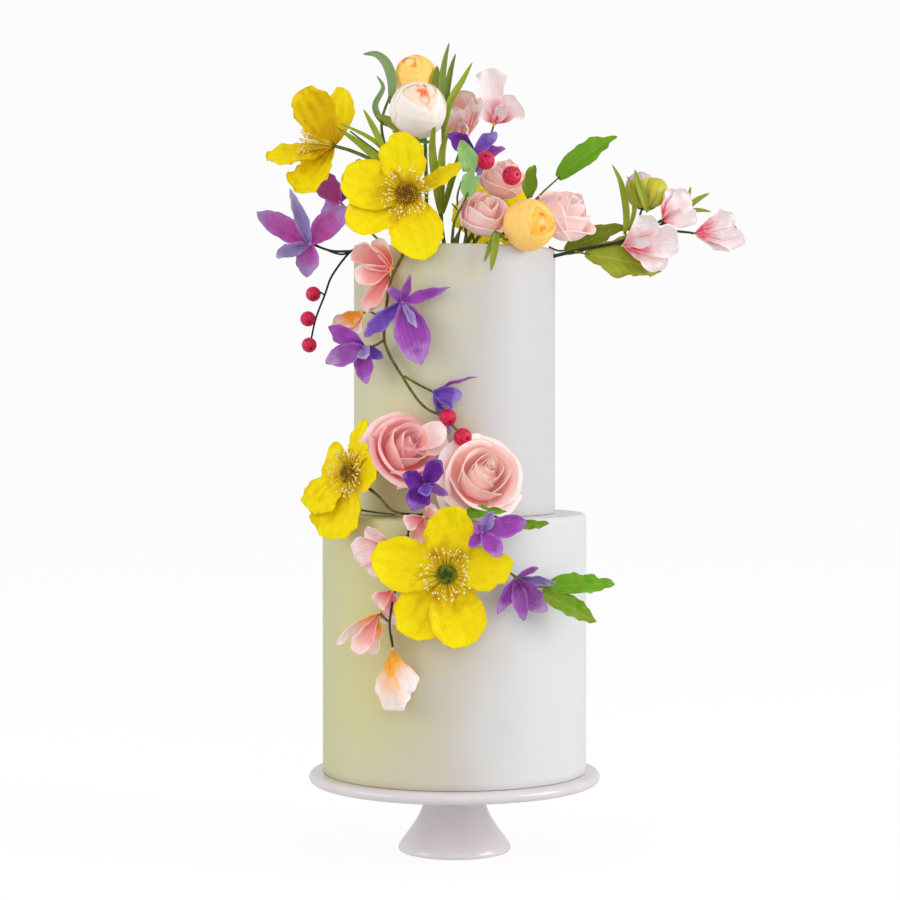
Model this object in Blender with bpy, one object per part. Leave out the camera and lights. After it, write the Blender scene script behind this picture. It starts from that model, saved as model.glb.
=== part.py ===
"""Two-tier wedding cake on a pedestal stand, dressed with sugar flowers.

Run with: blender --background --python part.py
Sizes and places in the tables are millimetres: X to the right, Y away from the front, Z up.
The origin is the middle of the stand's foot, on the table.
"""
import math
from dataclasses import dataclass, replace
from typing import NamedTuple, Optional

import bmesh
import bpy
from mathutils import Matrix, Vector

MM = 0.001
GAP = 0.3                       # left between solids that touch
CUT_GAP = 0.4                   # left where a piece is cut back from a neighbour
REACH = 1.0                     # pieces further apart than this are no neighbours
ROUND_SIDES = 48                # sides of the stand and of the tiers
UP = Vector((0, 0, 1))

# Stand: a 9 inch plate on a flared foot
PLATE_RADIUS = 114.0
PLATE_TOP = 63.5
PLATE_RIM = 8.6                 # height of the plate's rounded rim
PLATE_UNDER = 51.5              # where the stem meets the plate
FOOT_RADIUS = 44.3
FOOT_FLAT_RADIUS = 41.0         # the flat ring that stands on the table
FOOT_EDGE = 3.0
STEM_RADIUS = 23.0
FLARE_SHOULDER = 1.3            # keeps the foot broad near its edge
FLARE_SWEEP = 2.6               # how fast it draws in to the stem
FLARE_STEPS = 5
PLATE_RIM_STEPS = 4

# Tiers: 8 inch and 6 inch cakes with their icing
LOWER_RADIUS = 103.3
LOWER_TOP = 265.5
UPPER_RADIUS = 78.7
UPPER_TOP = 471.5
ICING_EDGE = 3.5                # radius of the rounded top edge
ICING_EDGE_STEPS = 2

# Shares of a piece's triangles that are kept once it is joined and cut
PETALS_KEPT = 0.66
FOLDS_KEPT = 0.5
STEMS_KEPT = 0.72
KEPT_STEP = 0.08                # added where a mesh doesn't stay closed
KEPT_TRIES = 4

# Edges that turn by more than this stay sharp, in degrees
TURNED_SHARP = 40
PETAL_SHARP = 50

# Flowers and stems
BOSS_SQUASH = 0.8               # height per width of the boss at a flower's heart
BUD_SQUASH = 0.95
BUD_FOLDS = 0.05                # height of a bud's folds, per radius
BUD_SIDES = 10
BUD_RINGS = 6
SHUT_BUD = 0.94                 # radius of a shut bud, per radius of its flower
BUD_OPENS = 0.30                # how much less it is where the flower is open
ROOT_DEPTH = 0.7                # where petals leave the bud, below its middle per radius
ROOT_OUT = 0.1                  # and out from its axis
PETAL_LIFT = 0.7                # how far up a shut flower's petals end
FIRST_TURN = 0.4                # of the first petal round the bud, in radians
SIZE_STEP = 0.04                # by which petals that follow each other differ
WRAP_WIDTH = 1.15               # width of such a petal, per radius
SHUT_BOW = -0.30
BOW_OPENS = 0.06
STEM_TAPER = 0.3
STEM_SIDES = 5

COLOURS = {
    "icing": (0.68, 0.67, 0.62), "ceramic": (0.72, 0.68, 0.68), "yellow": (0.83, 0.66, 0.01),
    "purple": (0.28, 0.10, 0.46), "rose": (0.83, 0.44, 0.42), "white": (0.88, 0.80, 0.72),
    "peach": (0.95, 0.60, 0.22), "pea": (0.85, 0.47, 0.44), "berry": (0.62, 0.02, 0.08),
    "green": (0.22, 0.36, 0.06), "stem": (0.14, 0.17, 0.05), "bud": (0.50, 0.50, 0.15),
}


@dataclass(frozen=True)
class Form:
    """The shape of one kind of petal or leaf."""
    widest: float = 0.58        # where along its length it is widest
    blunt: float = 0.55         # 0.5 for a round end, 1 for a pointed one
    bow: float = -0.06          # bend of the middle towards its face, per length
    curl: float = 24.0          # degrees from the middle to an edge
    ruffle: float = 0.0         # height of the waves at the edge, per half width
    waves: float = 1.5
    thick: float = 1.3
    steps: int = 4
    lanes: int = 4


NARROW_FOOT = 0.05              # share of a petal's outline that its foot leaves out
ROUND = Form()
POINTED = Form(widest=0.55, blunt=0.8, bow=-0.05, curl=34, thick=1.2, steps=4, lanes=2)
WRAPPED = Form(widest=0.62, blunt=0.5, bow=-0.26, curl=62, thick=1.4, steps=3, lanes=3)
RUFFLED = Form(widest=0.66, blunt=0.5, bow=-0.05, curl=45, ruffle=0.25, thick=1.2, steps=4, lanes=3)
LEAFY = Form(widest=0.42, blunt=0.85, bow=0.05, curl=20, ruffle=0.2, waves=2.0, thick=1.2, lanes=2)
BLADE = Form(widest=0.35, blunt=0.55, bow=0.05, curl=30, thick=1.4, steps=4, lanes=2)


class Petal(NamedTuple):
    """A petal's tip from the heart of its flower, its width, and where its inner side looks."""
    dx: float
    dy: float
    dz: float
    width: float
    faces: Optional[tuple] = None      # azimuth and elevation, if not the flower's own


class Flower(NamedTuple):
    """One flower: its heart, where it looks, its petals and their form."""
    name: str
    heart: tuple
    aim: tuple                         # azimuth (0 = front, 90 = right) and elevation
    petals: tuple
    form: Form
    colour: str
    core: float = 4.0                  # radius of the boss at the heart


BUTTERCUPS = (
    Flower("yellow_top_front", (-36, -73, 508.5), (-3, 8), (
        Petal(-5, -3, 47, 36), Petal(-49, -5, 12, 40), Petal(-44, -9, -24, 36),
        Petal(14, -14, -51, 42), Petal(43, 2, 24, 24, (-50, 30))), ROUND, "yellow", 8.5),
    Flower("yellow_low_front", (-6, -115, 226), (0, 6), (
        Petal(5, -3, 52, 40), Petal(-56, -2, 14, 42), Petal(-30, -4, -46, 42),
        Petal(14, -8, -54, 42), Petal(49, -5, 8, 33)), ROUND, "yellow", 8.0),
    Flower("yellow_mid_left", (-79, -74, 299), (-50, 6), (
        Petal(13, -8, 40, 26), Petal(-20, 18, 10, 36), Petal(-34, 6, -28, 32),
        Petal(-14, -7, -50, 44), Petal(22, -22, 4, 34)), ROUND, "yellow", 8.5),
    Flower("yellow_top_left", (-94, -25, 550), (-85, 8), (
        Petal(-22, -16, 42, 34, (0, 10)), Petal(7, 18, 48, 26, (-10, 10)),
        Petal(-52, -6, -10, 30, (-15, 50)), Petal(-29, -2, -36, 34, (-15, 40))), ROUND, "yellow", 5.0),
    Flower("yellow_top_back", (28, 48, 506), (168, 18), (
        Petal(2, 6, 32, 30), Petal(29, 4, 25, 26), Petal(28, 8, -22, 32),
        Petal(-8, 10, -31, 30), Petal(-30, 6, -8, 28)), ROUND, "yellow", 8.5),
)

VIOLETS = (
    Flower("purple_left_front", (-111, -32, 474), (-12, 20), (
        Petal(-41, -3, 24, 21), Petal(-15, -8, 42, 12), Petal(30, -4, 27, 25),
        Petal(-26, -12, -11, 14), Petal(-2, -8, -26, 21)), POINTED, "purple"),
    Flower("purple_left_back", (-89, -8, 508), (-30, 25), (
        Petal(-19, -4, 24, 22), Petal(16, -2, 33, 15), Petal(-16, 20, -6, 16),
        Petal(8, 24, 14, 18)), POINTED, "purple"),
    Flower("purple_top", (15, -46, 541), (0, 25), (
        Petal(-20, -3, 15, 17), Petal(17, -2, 17, 13), Petal(24, -3, 4, 11),
        Petal(-8, -5, -14, 10), Petal(5, -5, -17, 10)), POINTED, "purple", 3.2),
    Flower("purple_centre", (-39, -84, 427), (5, 0), (
        Petal(14, -5, -47, 29), Petal(-29, -2, -26, 14), Petal(36, -2, 11, 11),
        Petal(-11, -3, 11, 11), Petal(6, -3, 20, 9), Petal(11, -9, -19, 7)), POINTED, "purple", 3.6),
    Flower("purple_edge", (-68, -69, 394), (-20, 5), (
        Petal(-27, 2, 15, 16), Petal(-29, 0, -12, 20), Petal(1, -5, -28, 17),
        Petal(14, -4, -8, 10), Petal(2, -11, -10, 14)), POINTED, "purple", 3.6),
    Flower("purple_bell", (-16, -83, 360), (60, -10), (
        Petal(22, -5, -2, 13), Petal(11, -6, -13, 13), Petal(13, 1, -32, 8),
        Petal(34, -4, 12, 5)), POINTED, "purple", 2.8),
    Flower("purple_mid", (-22, -119, 292), (0, 8), (
        Petal(-16, -3, 8, 14), Petal(12, -3, 19, 17), Petal(-9, -5, -19, 20),
        Petal(17, -4, -7, 9), Petal(2, -9, -8, 12)), POINTED, "purple", 3.6),
    Flower("purple_ledge", (20, -117, 257), (10, 10), (
        Petal(33, 0, 8, 18), Petal(8, -6, 16, 10), Petal(14, -5, -18, 16),
        Petal(-9, -4, -10, 11), Petal(-6, -4, 6, 8)), POINTED, "purple", 3.4),
    Flower("purple_hanging", (45, -104, 222), (10, -35), (
        Petal(-13, -4, -25, 11), Petal(6, -8, -31, 12), Petal(23, -3, -24, 20),
        Petal(17, -2, 9, 6), Petal(30, 0, -3, 8)), POINTED, "purple", 3.2),
)

PEAS = (
    Flower("pea_top_centre", (6, -16, 554), (-25, 30), (
        Petal(-13, -8, 24, 22), Petal(2, 2, 40, 28), Petal(13, -6, 34, 20)), RUFFLED, "pea"),
    Flower("pea_top_right", (31, -6, 569), (10, 20), (
        Petal(-7, -2, 43, 24), Petal(-16, -6, 17, 17), Petal(21, -5, 15, 22)), RUFFLED, "pea"),
    Flower("pea_edge_pair", (-48, -68, 453), (-45, 0), (
        Petal(-27, -4, 17, 30), Petal(-8, -10, 22, 20), Petal(-27, -4, -8, 20),
        Petal(-21, -2, -32, 21)), RUFFLED, "pea"),
    Flower("pea_edge_low", (-71, -52, 420), (-40, -15), (
        Petal(-22, -1, -13, 22), Petal(-6, -4, -16, 16)), RUFFLED, "pea"),
    Flower("pea_low_left", (-49, -107, 249), (-40, 0), (
        Petal(-25, 2, -11, 25), Petal(-18, 0, 8, 12), Petal(-14, -3, -23, 19)), RUFFLED, "pea"),
    Flower("pea_low_top", (-23, -108, 268), (-20, 0), (
        Petal(-14, -3, -8, 12), Petal(-4, -4, -21, 16), Petal(9, 0, 5, 12)), RUFFLED, "pea"),
    Flower("pea_low_mid", (-46, -108, 214), (-30, -10), (
        Petal(-12, -1, -12, 15), Petal(1, -3, -27, 18)), RUFFLED, "pea"),
    Flower("pea_low_trumpet", (-56, -104, 196), (-40, -40), (
        Petal(-32, 0, -23, 11), Petal(-17, -8, -29, 15), Petal(-5, -2, -31, 13)), RUFFLED, "pea", 3.0),
    Flower("pea_low_bell", (-46, -108, 170), (20, -50), (
        Petal(2, -3, -46, 23), Petal(20, -2, -29, 20), Petal(-7, -4, -36, 15)), RUFFLED, "pea", 3.0),
    Flower("pea_right_upper", (162, -5, 494), (50, 20), (
        Petal(6, -4, 25, 19), Petal(27, -5, 1, 20), Petal(22, 4, 20, 20)), RUFFLED, "pea", 3.0),
    Flower("pea_right_lower", (131, -13, 474), (40, 5), (
        Petal(25, -1, 21, 20), Petal(43, -2, 3, 23), Petal(34, -3, -16, 21)), RUFFLED, "pea", 3.0),
    Flower("pea_right_trumpet", (187, -6, 484), (60, 10), (
        Petal(31, 0, 15, 13), Petal(39, -3, -7, 16), Petal(27, -2, -14, 14)), RUFFLED, "pea", 2.4),
)


class Rosette(NamedTuple):
    """A rose or a globe flower: a folded bud wrapped in petals."""
    name: str
    heart: tuple                       # middle of the bud
    aim: tuple
    radius: float                      # of the whole flower
    open: float                        # 0 for a shut bud, 1 for petals laid wide
    petals: int
    colour: str


ROSETTES = (
    Rosette("rose_left", (-38, -91, 318), (8, 16), 24.5, 0.75, 5, "rose"),
    Rosette("rose_right", (20, -95, 297), (4, 12), 27, 0.85, 5, "rose"),
    Rosette("rose_bud_front", (21, -58, 494), (12, 30), 18, 0.35, 4, "rose"),
    Rosette("rose_behind", (39, -28, 523), (0, 60), 19, 0.35, 4, "rose"),
    Rosette("rose_top_right", (84, -22, 496), (45, 35), 24, 0.60, 5, "rose"),
    Rosette("globe_peach", (56, -66, 486), (25, 12), 19.5, 0.10, 3, "peach"),
    Rosette("globe_peach_top", (-30, -14, 607), (-10, 70), 17, 0.05, 3, "peach"),
    Rosette("globe_white", (-28, -36, 577), (5, 48), 22, 0.30, 4, "white"),
)

BUD = Rosette("bud_striped", (150, 0, 518), (0, 75), 15.5, 0.05, 0, "bud")


class Berry(NamedTuple):
    """One berry: its middle and its radius."""
    name: str
    middle: tuple
    radius: float


BERRIES = (
    Berry("berry_left_upper", (-108, -43, 435), 5.8), Berry("berry_left_mid", (-112, -44, 416), 5.9),
    Berry("berry_left_low", (-111, -45, 396), 5.8), Berry("berry_centre_upper", (-5, -89, 341), 6.5),
    Berry("berry_centre_low", (6, -91, 326.5), 6.9), Berry("berry_top_left", (23, -70, 534), 7.2),
    Berry("berry_top_right", (43, -66, 523), 7.4),
)


class Leaf(NamedTuple):
    """A leaf or blade from its foot to its tip."""
    foot: tuple
    tip: tuple
    width: float
    faces: tuple = (0, 20)
    form: Form = LEAFY


class Stem(NamedTuple):
    """A round stem through points chosen along its way."""
    radius: float
    points: tuple


class Spray(NamedTuple):
    """Leaves and stems that are one piece."""
    name: str
    colour: str
    leaves: tuple
    stems: tuple


SPRAYS = (
    Spray("leaf_right_high", "green", (Leaf((80, -22, 525), (126, -22, 559), 20, (0, 30)),), (
        Stem(0.9, ((58, -34, 503), (68, -28, 514), (82, -22, 527))),)),
    Spray("leaf_right_mid", "green", (Leaf((87, 4, 470), (134, 2, 491), 16, (0, 20)),), (
        Stem(0.9, ((74, 4, 474), (82, 4, 471), (90, 4, 472))),)),
    Spray("leaf_right_low", "green", (Leaf((101, -19, 467), (162, -17, 456), 24, (0, 40)),), (
        Stem(0.9, ((93, -18, 469.5), (98, -19, 468), (105, -19, 466.5))),)),
    Spray("leaves_low", "green", (
        Leaf((67, -92, 214), (122, -76, 215), 17, (20, 30)),
        Leaf((64, -96, 211), (106, -88, 187), 17, (20, 20))), (
        Stem(1.0, ((58, -97, 216), (64, -94, 215), (72, -91, 214))),
        Stem(1.0, ((58, -97, 216), (62, -97, 212), (68, -95, 209))))),
    Spray("leaves_ledge", "green", (
        Leaf((6, -107, 270), (39, -107, 272), 9), Leaf((44, -107, 261), (70, -106, 262), 8)), (
        Stem(1.0, ((2, -104, 269), (20, -106, 270), (36, -106, 266), (48, -107, 261))),)),
    Spray("leaf_top_right", "green", (
        Leaf((57, -45, 508), (61, -44, 535), 12, (-20, 20)),
        Leaf((31, -81, 480), (22, -84, 457), 6, (0, 10)),
        Leaf((31, -81, 480), (26, -85, 450), 7, (10, 10))), (
        Stem(1.2, ((57, -44, 512), (50, -47, 490), (40, -68, 475), (34, -80, 478), (30, -82, 480))),)),
    Spray("leaves_top_centre", "green", (
        Leaf((13, -79, 524), (4, -81, 548), 14), Leaf((9, -80, 506), (14, -82, 528), 13)), (
        Stem(1.2, ((-2, -62, 473), (0, -74, 488), (8, -80, 504), (12, -80, 516), (13, -79, 527))),)),
    Spray("grass_top", "green", (
        Leaf((-7, -28, 568), (-4, -24, 630), 7, (0, 10), BLADE),
        Leaf((-7, -28, 568), (1, -20, 622), 6, (0, 10), BLADE),
        Leaf((-7, -29, 563), (14, -22, 615), 6, (0, 10), BLADE),
        Leaf((-12, -44, 498), (-15, -46, 566), 9, (0, 10), BLADE),
        Leaf((-11, -44, 498), (-6, -46, 562), 9, (20, 10), BLADE)), (
        Stem(1.6, ((-8, -30, 473), (-10, -38, 490), (-10, -40, 510), (-9, -34, 540), (-7, -28, 572))),
        Stem(1.4, ((-10, -38, 490), (-11, -42, 496), (-11, -45, 502))))),
    Spray("blades_left", "green", (
        Leaf((-46, -44, 522), (-91, -40, 566), 7, (0, 30), BLADE),
        Leaf((-55, -42, 543), (-86, -38, 568), 5, (0, 30), BLADE),
        Leaf((-56, -43, 545), (-69, -36, 577), 6, (0, 20), BLADE)), (
        Stem(1.5, ((-30, -34, 473), (-38, -40, 500), (-47, -44, 524), (-58, -43, 548))),
        Stem(1.3, ((-44, -43, 515), (-62, -38, 536), (-78, -30, 545), (-92, -25, 550))))),
    Spray("leaf_curled", "green", (
        Leaf((-49, -25, 593), (-70, -22, 623), 9, (0, 20), BLADE),
        Leaf((-58, -29, 578), (-60, -26, 606), 6, (0, 20), BLADE)), (
        Stem(1.4, ((-24, -20, 473), (-40, -26, 510), (-53, -29, 548), (-58, -30, 570),
                   (-55, -28, 584), (-48, -24, 596))),)),
    Spray("blades_right", "green", (
        Leaf((134, -3, 484), (124, -5, 539), 6, (0, 10), BLADE),
        Leaf((140, -1, 486), (141, -14, 532), 7, (0, 10), BLADE),
        Leaf((178, 8, 499), (186, 10, 522), 4, (0, 10), BLADE),
        Leaf((178, 8, 499), (201, 10, 517), 5, (0, 10), BLADE),
        Leaf((174, 7, 497), (202, 8, 502), 4, (0, 10), BLADE)), (
        Stem(1.1, ((132, -4, 481), (148, 2, 488), (166, 6, 493), (180, 8, 500))),)),
)

STEMS = (
    Spray("twig_left", "stem", (), (
        Stem(1.1, ((-60, -36, 468), (-70, -43, 469), (-79, -50, 467), (-93, -50, 449), (-99, -47, 434),
                   (-106, -45, 416), (-110, -45, 398))),
        Stem(1.1, ((-79, -50, 467), (-94, -41, 468), (-108, -33, 473))),
        Stem(0.7, ((-99, -47, 434), (-104, -44, 437), (-108, -43, 436))))),
    Spray("branch_centre", "stem", (), (
        Stem(1.5, ((-31, -64, 473), (-37, -77, 469), (-40, -78, 460), (-45, -75, 451), (-49, -72, 440),
                   (-52, -71, 417), (-53, -71, 400), (-49, -73, 388), (-42, -76, 376), (-29, -82, 356),
                   (-20, -86, 347), (-8, -89, 341), (6, -91, 327))),
        Stem(1.1, ((-38, -77, 372), (-26, -81, 365), (-15, -83, 360))))),
    Spray("branch_right", "stem", (), (
        Stem(1.5, ((72, -17, 464), (79, -17, 466), (100, -15, 471), (125, -12, 476),
                   (134, -11, 479), (148, -8, 486), (163, -5, 495))),
        Stem(1.0, ((144, -9, 484), (160, -8, 486), (173, -7, 485.5), (188, -6, 484))),
        Stem(1.1, ((132, -11, 478), (142, -4, 492), (149, 0, 510))))),
    Spray("stems_low", "stem", (), (
        Stem(1.4, ((-20, -98, 267), (-33, -104, 269), (-34, -108, 256), (-36, -109, 244), (-44, -109, 214),
                   (-48, -108, 190), (-46, -108, 172))),
        Stem(1.3, ((-79, -74, 298), (-59, -86, 284), (-46, -98, 274), (-34, -103, 269))),
        Stem(1.0, ((-35, -108, 254), (-41, -108, 250), (-49, -107, 249))),
        Stem(0.9, ((-48, -108, 190), (-52, -106, 193), (-57, -104, 196))),
        Stem(1.2, ((-36, -108, 246), (-16, -108, 242), (8, -108, 238), (30, -108, 232), (46, -105, 223),
                   (58, -98, 215))))),
)


def clear_scene():
    """Remove every object that the new file starts with."""
    for item in list(bpy.data.objects):
        bpy.data.objects.remove(item, do_unlink=True)


def material(name):
    """A plain material in one of the object's colours."""
    found = bpy.data.materials.get(name)
    if found:
        return found
    made = bpy.data.materials.new(name)
    made.use_nodes = True
    shader = made.node_tree.nodes["Principled BSDF"]
    shader.inputs["Base Color"].default_value = (*COLOURS[name], 1)
    shader.inputs["Roughness"].default_value = 0.25 if name == "ceramic" else 0.6
    shader.inputs["Metallic"].default_value = 0.0
    return made


def direction(azimuth, elevation):
    """The unit vector of an azimuth (0 = front, 90 = right) and an elevation, in degrees."""
    turn, rise = math.radians(azimuth), math.radians(elevation)
    return Vector((math.sin(turn) * math.cos(rise), -math.cos(turn) * math.cos(rise), math.sin(rise)))


def add_object(name, bm, colour):
    """Make an object in metres of a mesh in millimetres."""
    bmesh.ops.scale(bm, vec=(MM, MM, MM), verts=bm.verts)
    mesh = bpy.data.meshes.new(name)
    bm.to_mesh(mesh)
    bm.free()
    made = bpy.data.objects.new(name, mesh)
    mesh.materials.append(material(colour))
    bpy.context.scene.collection.objects.link(made)
    return made


def turned(name, profile, colour):
    """Turn a profile of radius and height, from the axis below to the axis above."""
    bm = bmesh.new()
    corners = [bm.verts.new((radius, 0, height)) for radius, height in profile]
    edges = [bm.edges.new(pair) for pair in zip(corners, corners[1:])]
    bmesh.ops.spin(bm, geom=corners + edges, cent=(0, 0, 0), axis=UP, angle=2 * math.pi,
                   steps=ROUND_SIDES, use_merge=True)
    bmesh.ops.remove_doubles(bm, verts=bm.verts, dist=0.001)
    bmesh.ops.recalc_face_normals(bm, faces=bm.faces)
    made = add_object(name, bm, colour)
    made.data.shade_smooth()
    made.data.set_sharp_from_angle(angle=math.radians(TURNED_SHARP))
    return made


def arc(middle, radius, start, end, steps):
    """Points of a profile on an arc, in degrees from straight out."""
    turns = [math.radians(start + (end - start) * step / steps) for step in range(steps + 1)]
    return [(middle[0] + radius * math.cos(turn), middle[1] + radius * math.sin(turn)) for turn in turns]


def make_stand():
    """The plate, stem and foot, which are one piece of glazed ceramic."""
    profile = [(0, 0), (FOOT_FLAT_RADIUS, 0)]
    for step in range(FLARE_STEPS + 1):
        part = step / FLARE_STEPS
        height = FOOT_EDGE + (PLATE_UNDER - FOOT_EDGE) * part
        sweep = (1 - part ** FLARE_SHOULDER) ** FLARE_SWEEP
        profile.append((STEM_RADIUS + (FOOT_RADIUS - STEM_RADIUS) * sweep, height))
    rim = PLATE_RIM / 2
    profile += arc((PLATE_RADIUS - rim, PLATE_TOP - rim), rim, -90, 90, PLATE_RIM_STEPS)
    profile.append((0, PLATE_TOP))
    return turned("stand", profile, "ceramic")


def make_tier(name, radius, bottom, top):
    """One tall round tier with a softly rounded top edge."""
    profile = [(0, bottom), (radius, bottom)]
    profile += arc((radius - ICING_EDGE, top - ICING_EDGE), ICING_EDGE, 0, 90, ICING_EDGE_STEPS)
    profile.append((0, top))
    return turned(name, profile, "icing")


def petal_point(petal, aim, form, s, t):
    """The point of a petal's middle surface.

    s runs from its foot (0) to its tip (1), and t from one edge (-1) to the other (1).
    """
    reach = Vector(petal[:3])
    along = reach.normalized()
    looks = direction(*petal.faces) if petal.faces else aim
    face = (looks - along * looks.dot(along)).normalized()
    side = along.cross(face)
    peak = math.log(0.5) / math.log(form.widest)
    share = NARROW_FOOT + (1 - NARROW_FOOT) * s
    half = 0.5 * petal.width * max(math.sin(math.pi * share ** peak), 0.0) ** form.blunt
    bend = math.radians(form.curl)
    wave = form.ruffle * half * t * t * s * math.sin(2 * math.pi * form.waves * s + 2.0 * t + petal.dx)
    lift = half * (1 - math.cos(bend * t)) / bend
    arch = form.bow * reach.length * math.sin(math.pi * s)
    return reach * s + side * (half * math.sin(bend * t) / bend) + face * (arch + lift + wave)


def add_sheet(bm, rows, thick):
    """A thin closed body of a grid of points: thickest inside, sharp round its edge.

    Both of its faces are split into triangles alike. The last row is one point.
    """
    last_row, last_lane = len(rows) - 1, len(rows[0]) - 1
    upper, lower = {}, {}
    tip = bm.verts.new(rows[-1][0])
    for i, row in enumerate(rows):
        for j, point in enumerate(row):
            if i == last_row:
                upper[i, j] = lower[i, j] = tip
            elif i == 0 or j in (0, last_lane):
                upper[i, j] = lower[i, j] = bm.verts.new(point)
            else:
                normal = (rows[i + 1][j] - rows[i - 1][j]).cross(row[j + 1] - row[j - 1]).normalized()
                upper[i, j] = bm.verts.new(point - normal * thick / 2)
                lower[i, j] = bm.verts.new(point + normal * thick / 2)
    for i in range(last_row):
        for j in range(last_lane):
            if j < last_lane / 2:
                halves = ((i, j), (i, j + 1), (i + 1, j + 1)), ((i, j), (i + 1, j + 1), (i + 1, j))
            else:
                halves = ((i, j), (i, j + 1), (i + 1, j)), ((i, j + 1), (i + 1, j + 1), (i + 1, j))
            for corners in halves:
                top = [upper[corner] for corner in corners]
                bottom = [lower[corner] for corner in reversed(corners)]
                if len(set(top)) == 3:
                    bm.faces.new(top)
                    bm.faces.new(bottom)


def sheet_body(place, petal, aim, form):
    """One petal or leaf as a mesh, standing on its place."""
    bm = bmesh.new()
    rows = [[place + petal_point(petal, aim, form, i / form.steps, 2 * j / form.lanes - 1)
             for j in range(form.lanes + 1)] for i in range(form.steps + 1)]
    add_sheet(bm, rows, form.thick)
    bmesh.ops.recalc_face_normals(bm, faces=bm.faces)
    return bm


def ball_body(middle, radius, aim, squash=1.0, sides=6, rings=4, folds=0.0):
    """A ball, flattened along the way that it looks, with folds that wind round it."""
    bm = bmesh.new()
    bmesh.ops.create_uvsphere(bm, u_segments=sides, v_segments=rings, radius=radius)
    for vert in bm.verts:
        turn = math.atan2(vert.co.y, vert.co.x)
        vert.co *= 1 + folds * math.sin(2 * turn + 4 * vert.co.z / radius)
    bmesh.ops.scale(bm, vec=(1, 1, squash), verts=bm.verts)
    place = Matrix.Translation(middle) @ aim.to_track_quat("Z", "Y").to_matrix().to_4x4()
    bmesh.ops.transform(bm, matrix=place, verts=bm.verts)
    bmesh.ops.triangulate(bm, faces=bm.faces)
    return bm


def smooth_route(points):
    """Points on a smooth curve through the given ones."""
    points = [Vector(point) for point in points]
    ends = [2 * points[0] - points[1]] + points + [2 * points[-1] - points[-2]]
    route = []
    for before, here, there, after in zip(ends, ends[1:], ends[2:], ends[3:]):
        for part in (0.0, 0.5):
            a = -0.5 * before + 1.5 * here - 1.5 * there + 0.5 * after
            b = before - 2.5 * here + 2 * there - 0.5 * after
            c = 0.5 * (there - before)
            route.append(((a * part + b) * part + c) * part + here)
    return route + [points[-1]]


def stem_body(stem):
    """A round stem that thins a little towards its end."""
    bm = bmesh.new()
    route = smooth_route(stem.points)
    across = (route[1] - route[0]).orthogonal()
    rings = []
    for i, point in enumerate(route):
        way = (route[min(i + 1, len(route) - 1)] - route[max(i - 1, 0)]).normalized()
        across = (across - way * across.dot(way)).normalized()
        other = way.cross(across)
        radius = stem.radius * (1 - STEM_TAPER * i / len(route))
        turns = [2 * math.pi * k / STEM_SIDES for k in range(STEM_SIDES)]
        rings.append([bm.verts.new(point + (across * math.cos(turn) + other * math.sin(turn)) * radius)
                      for turn in turns])
    for here, there in zip(rings, rings[1:]):
        for k in range(STEM_SIDES):
            after = (k + 1) % STEM_SIDES
            bm.faces.new((here[k], here[after], there[after], there[k]))
    bm.faces.new(reversed(rings[0]))
    bm.faces.new(rings[-1])
    bmesh.ops.triangulate(bm, faces=bm.faces)
    return bm


def applied(made):
    """Give an object the mesh that its modifiers make, and drop them."""
    graph = bpy.context.evaluated_depsgraph_get()
    mesh = bpy.data.meshes.new_from_object(made.evaluated_get(graph))
    made.modifiers.clear()
    made.data = mesh


def combine(made, others, operation):
    """Join or cut an object by others in one Boolean, and remove the others."""
    group = bpy.data.collections.new("combine")
    bpy.context.scene.collection.children.link(group)
    for other in others:
        group.objects.link(other)
    step = made.modifiers.new("combine", "BOOLEAN")
    step.operation = operation
    step.operand_type = "COLLECTION"
    step.collection = group
    step.solver = "MANIFOLD"
    applied(made)
    for other in others:
        bpy.data.objects.remove(other, do_unlink=True)
    bpy.data.collections.remove(group)


def keep_largest(made):
    """Drop the loose scraps that a cut leaves."""
    bm = bmesh.new()
    bm.from_mesh(made.data)
    left, islands = set(bm.verts), []
    while left:
        island, edge = set(), [left.pop()]
        while edge:
            vert = edge.pop()
            island.add(vert)
            for link in vert.link_edges:
                other = link.other_vert(vert)
                if other in left:
                    left.remove(other)
                    edge.append(other)
        islands.append(island)
    islands.sort(key=lambda island: sum(face.calc_area() for face in bm.faces if face.verts[0] in island))
    for island in islands[:-1]:
        bmesh.ops.delete(bm, geom=list(island), context="VERTS")
    bm.to_mesh(made.data)
    bm.free()


def is_closed(mesh):
    """Whether each edge of a mesh has one face on either side."""
    bm = bmesh.new()
    bm.from_mesh(mesh)
    closed = all(edge.is_manifold for edge in bm.edges)
    bm.free()
    return closed


def thin_out(made, share):
    """Collapse the slivers that cuts leave, down to a share of the triangles."""
    full = made.data
    for attempt in range(KEPT_TRIES):
        step = made.modifiers.new("thin out", "DECIMATE")
        step.ratio = share + KEPT_STEP * attempt
        applied(made)
        if is_closed(made.data):
            return
        made.data = full


def corners_of(made):
    """The lowest and highest corners of an object's mesh, in millimetres."""
    spots = [vert.co / MM for vert in made.data.vertices]
    return ([min(spot[axis] for spot in spots) for axis in range(3)],
            [max(spot[axis] for spot in spots) for axis in range(3)])


def grown_copy(made, amount):
    """A copy whose surface lies an amount further out."""
    bm = bmesh.new()
    bm.from_mesh(made.data)
    bm.normal_update()
    for vert in bm.verts:
        vert.co += vert.normal * amount * MM
    bmesh.ops.scale(bm, vec=(1 / MM, 1 / MM, 1 / MM), verts=bm.verts)
    return add_object("grown", bm, made.data.materials[0].name)


def fit_between(made, neighbours):
    """Cut an object back wherever it would come within the gap of a neighbour."""
    low, high = corners_of(made)
    close = []
    for other in neighbours:
        other_low, other_high = corners_of(other)
        if all(low[k] - REACH < other_high[k] and other_low[k] - REACH < high[k] for k in range(3)):
            close.append(grown_copy(other, CUT_GAP))
    if close:
        combine(made, close, "DIFFERENCE")
        keep_largest(made)


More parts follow.
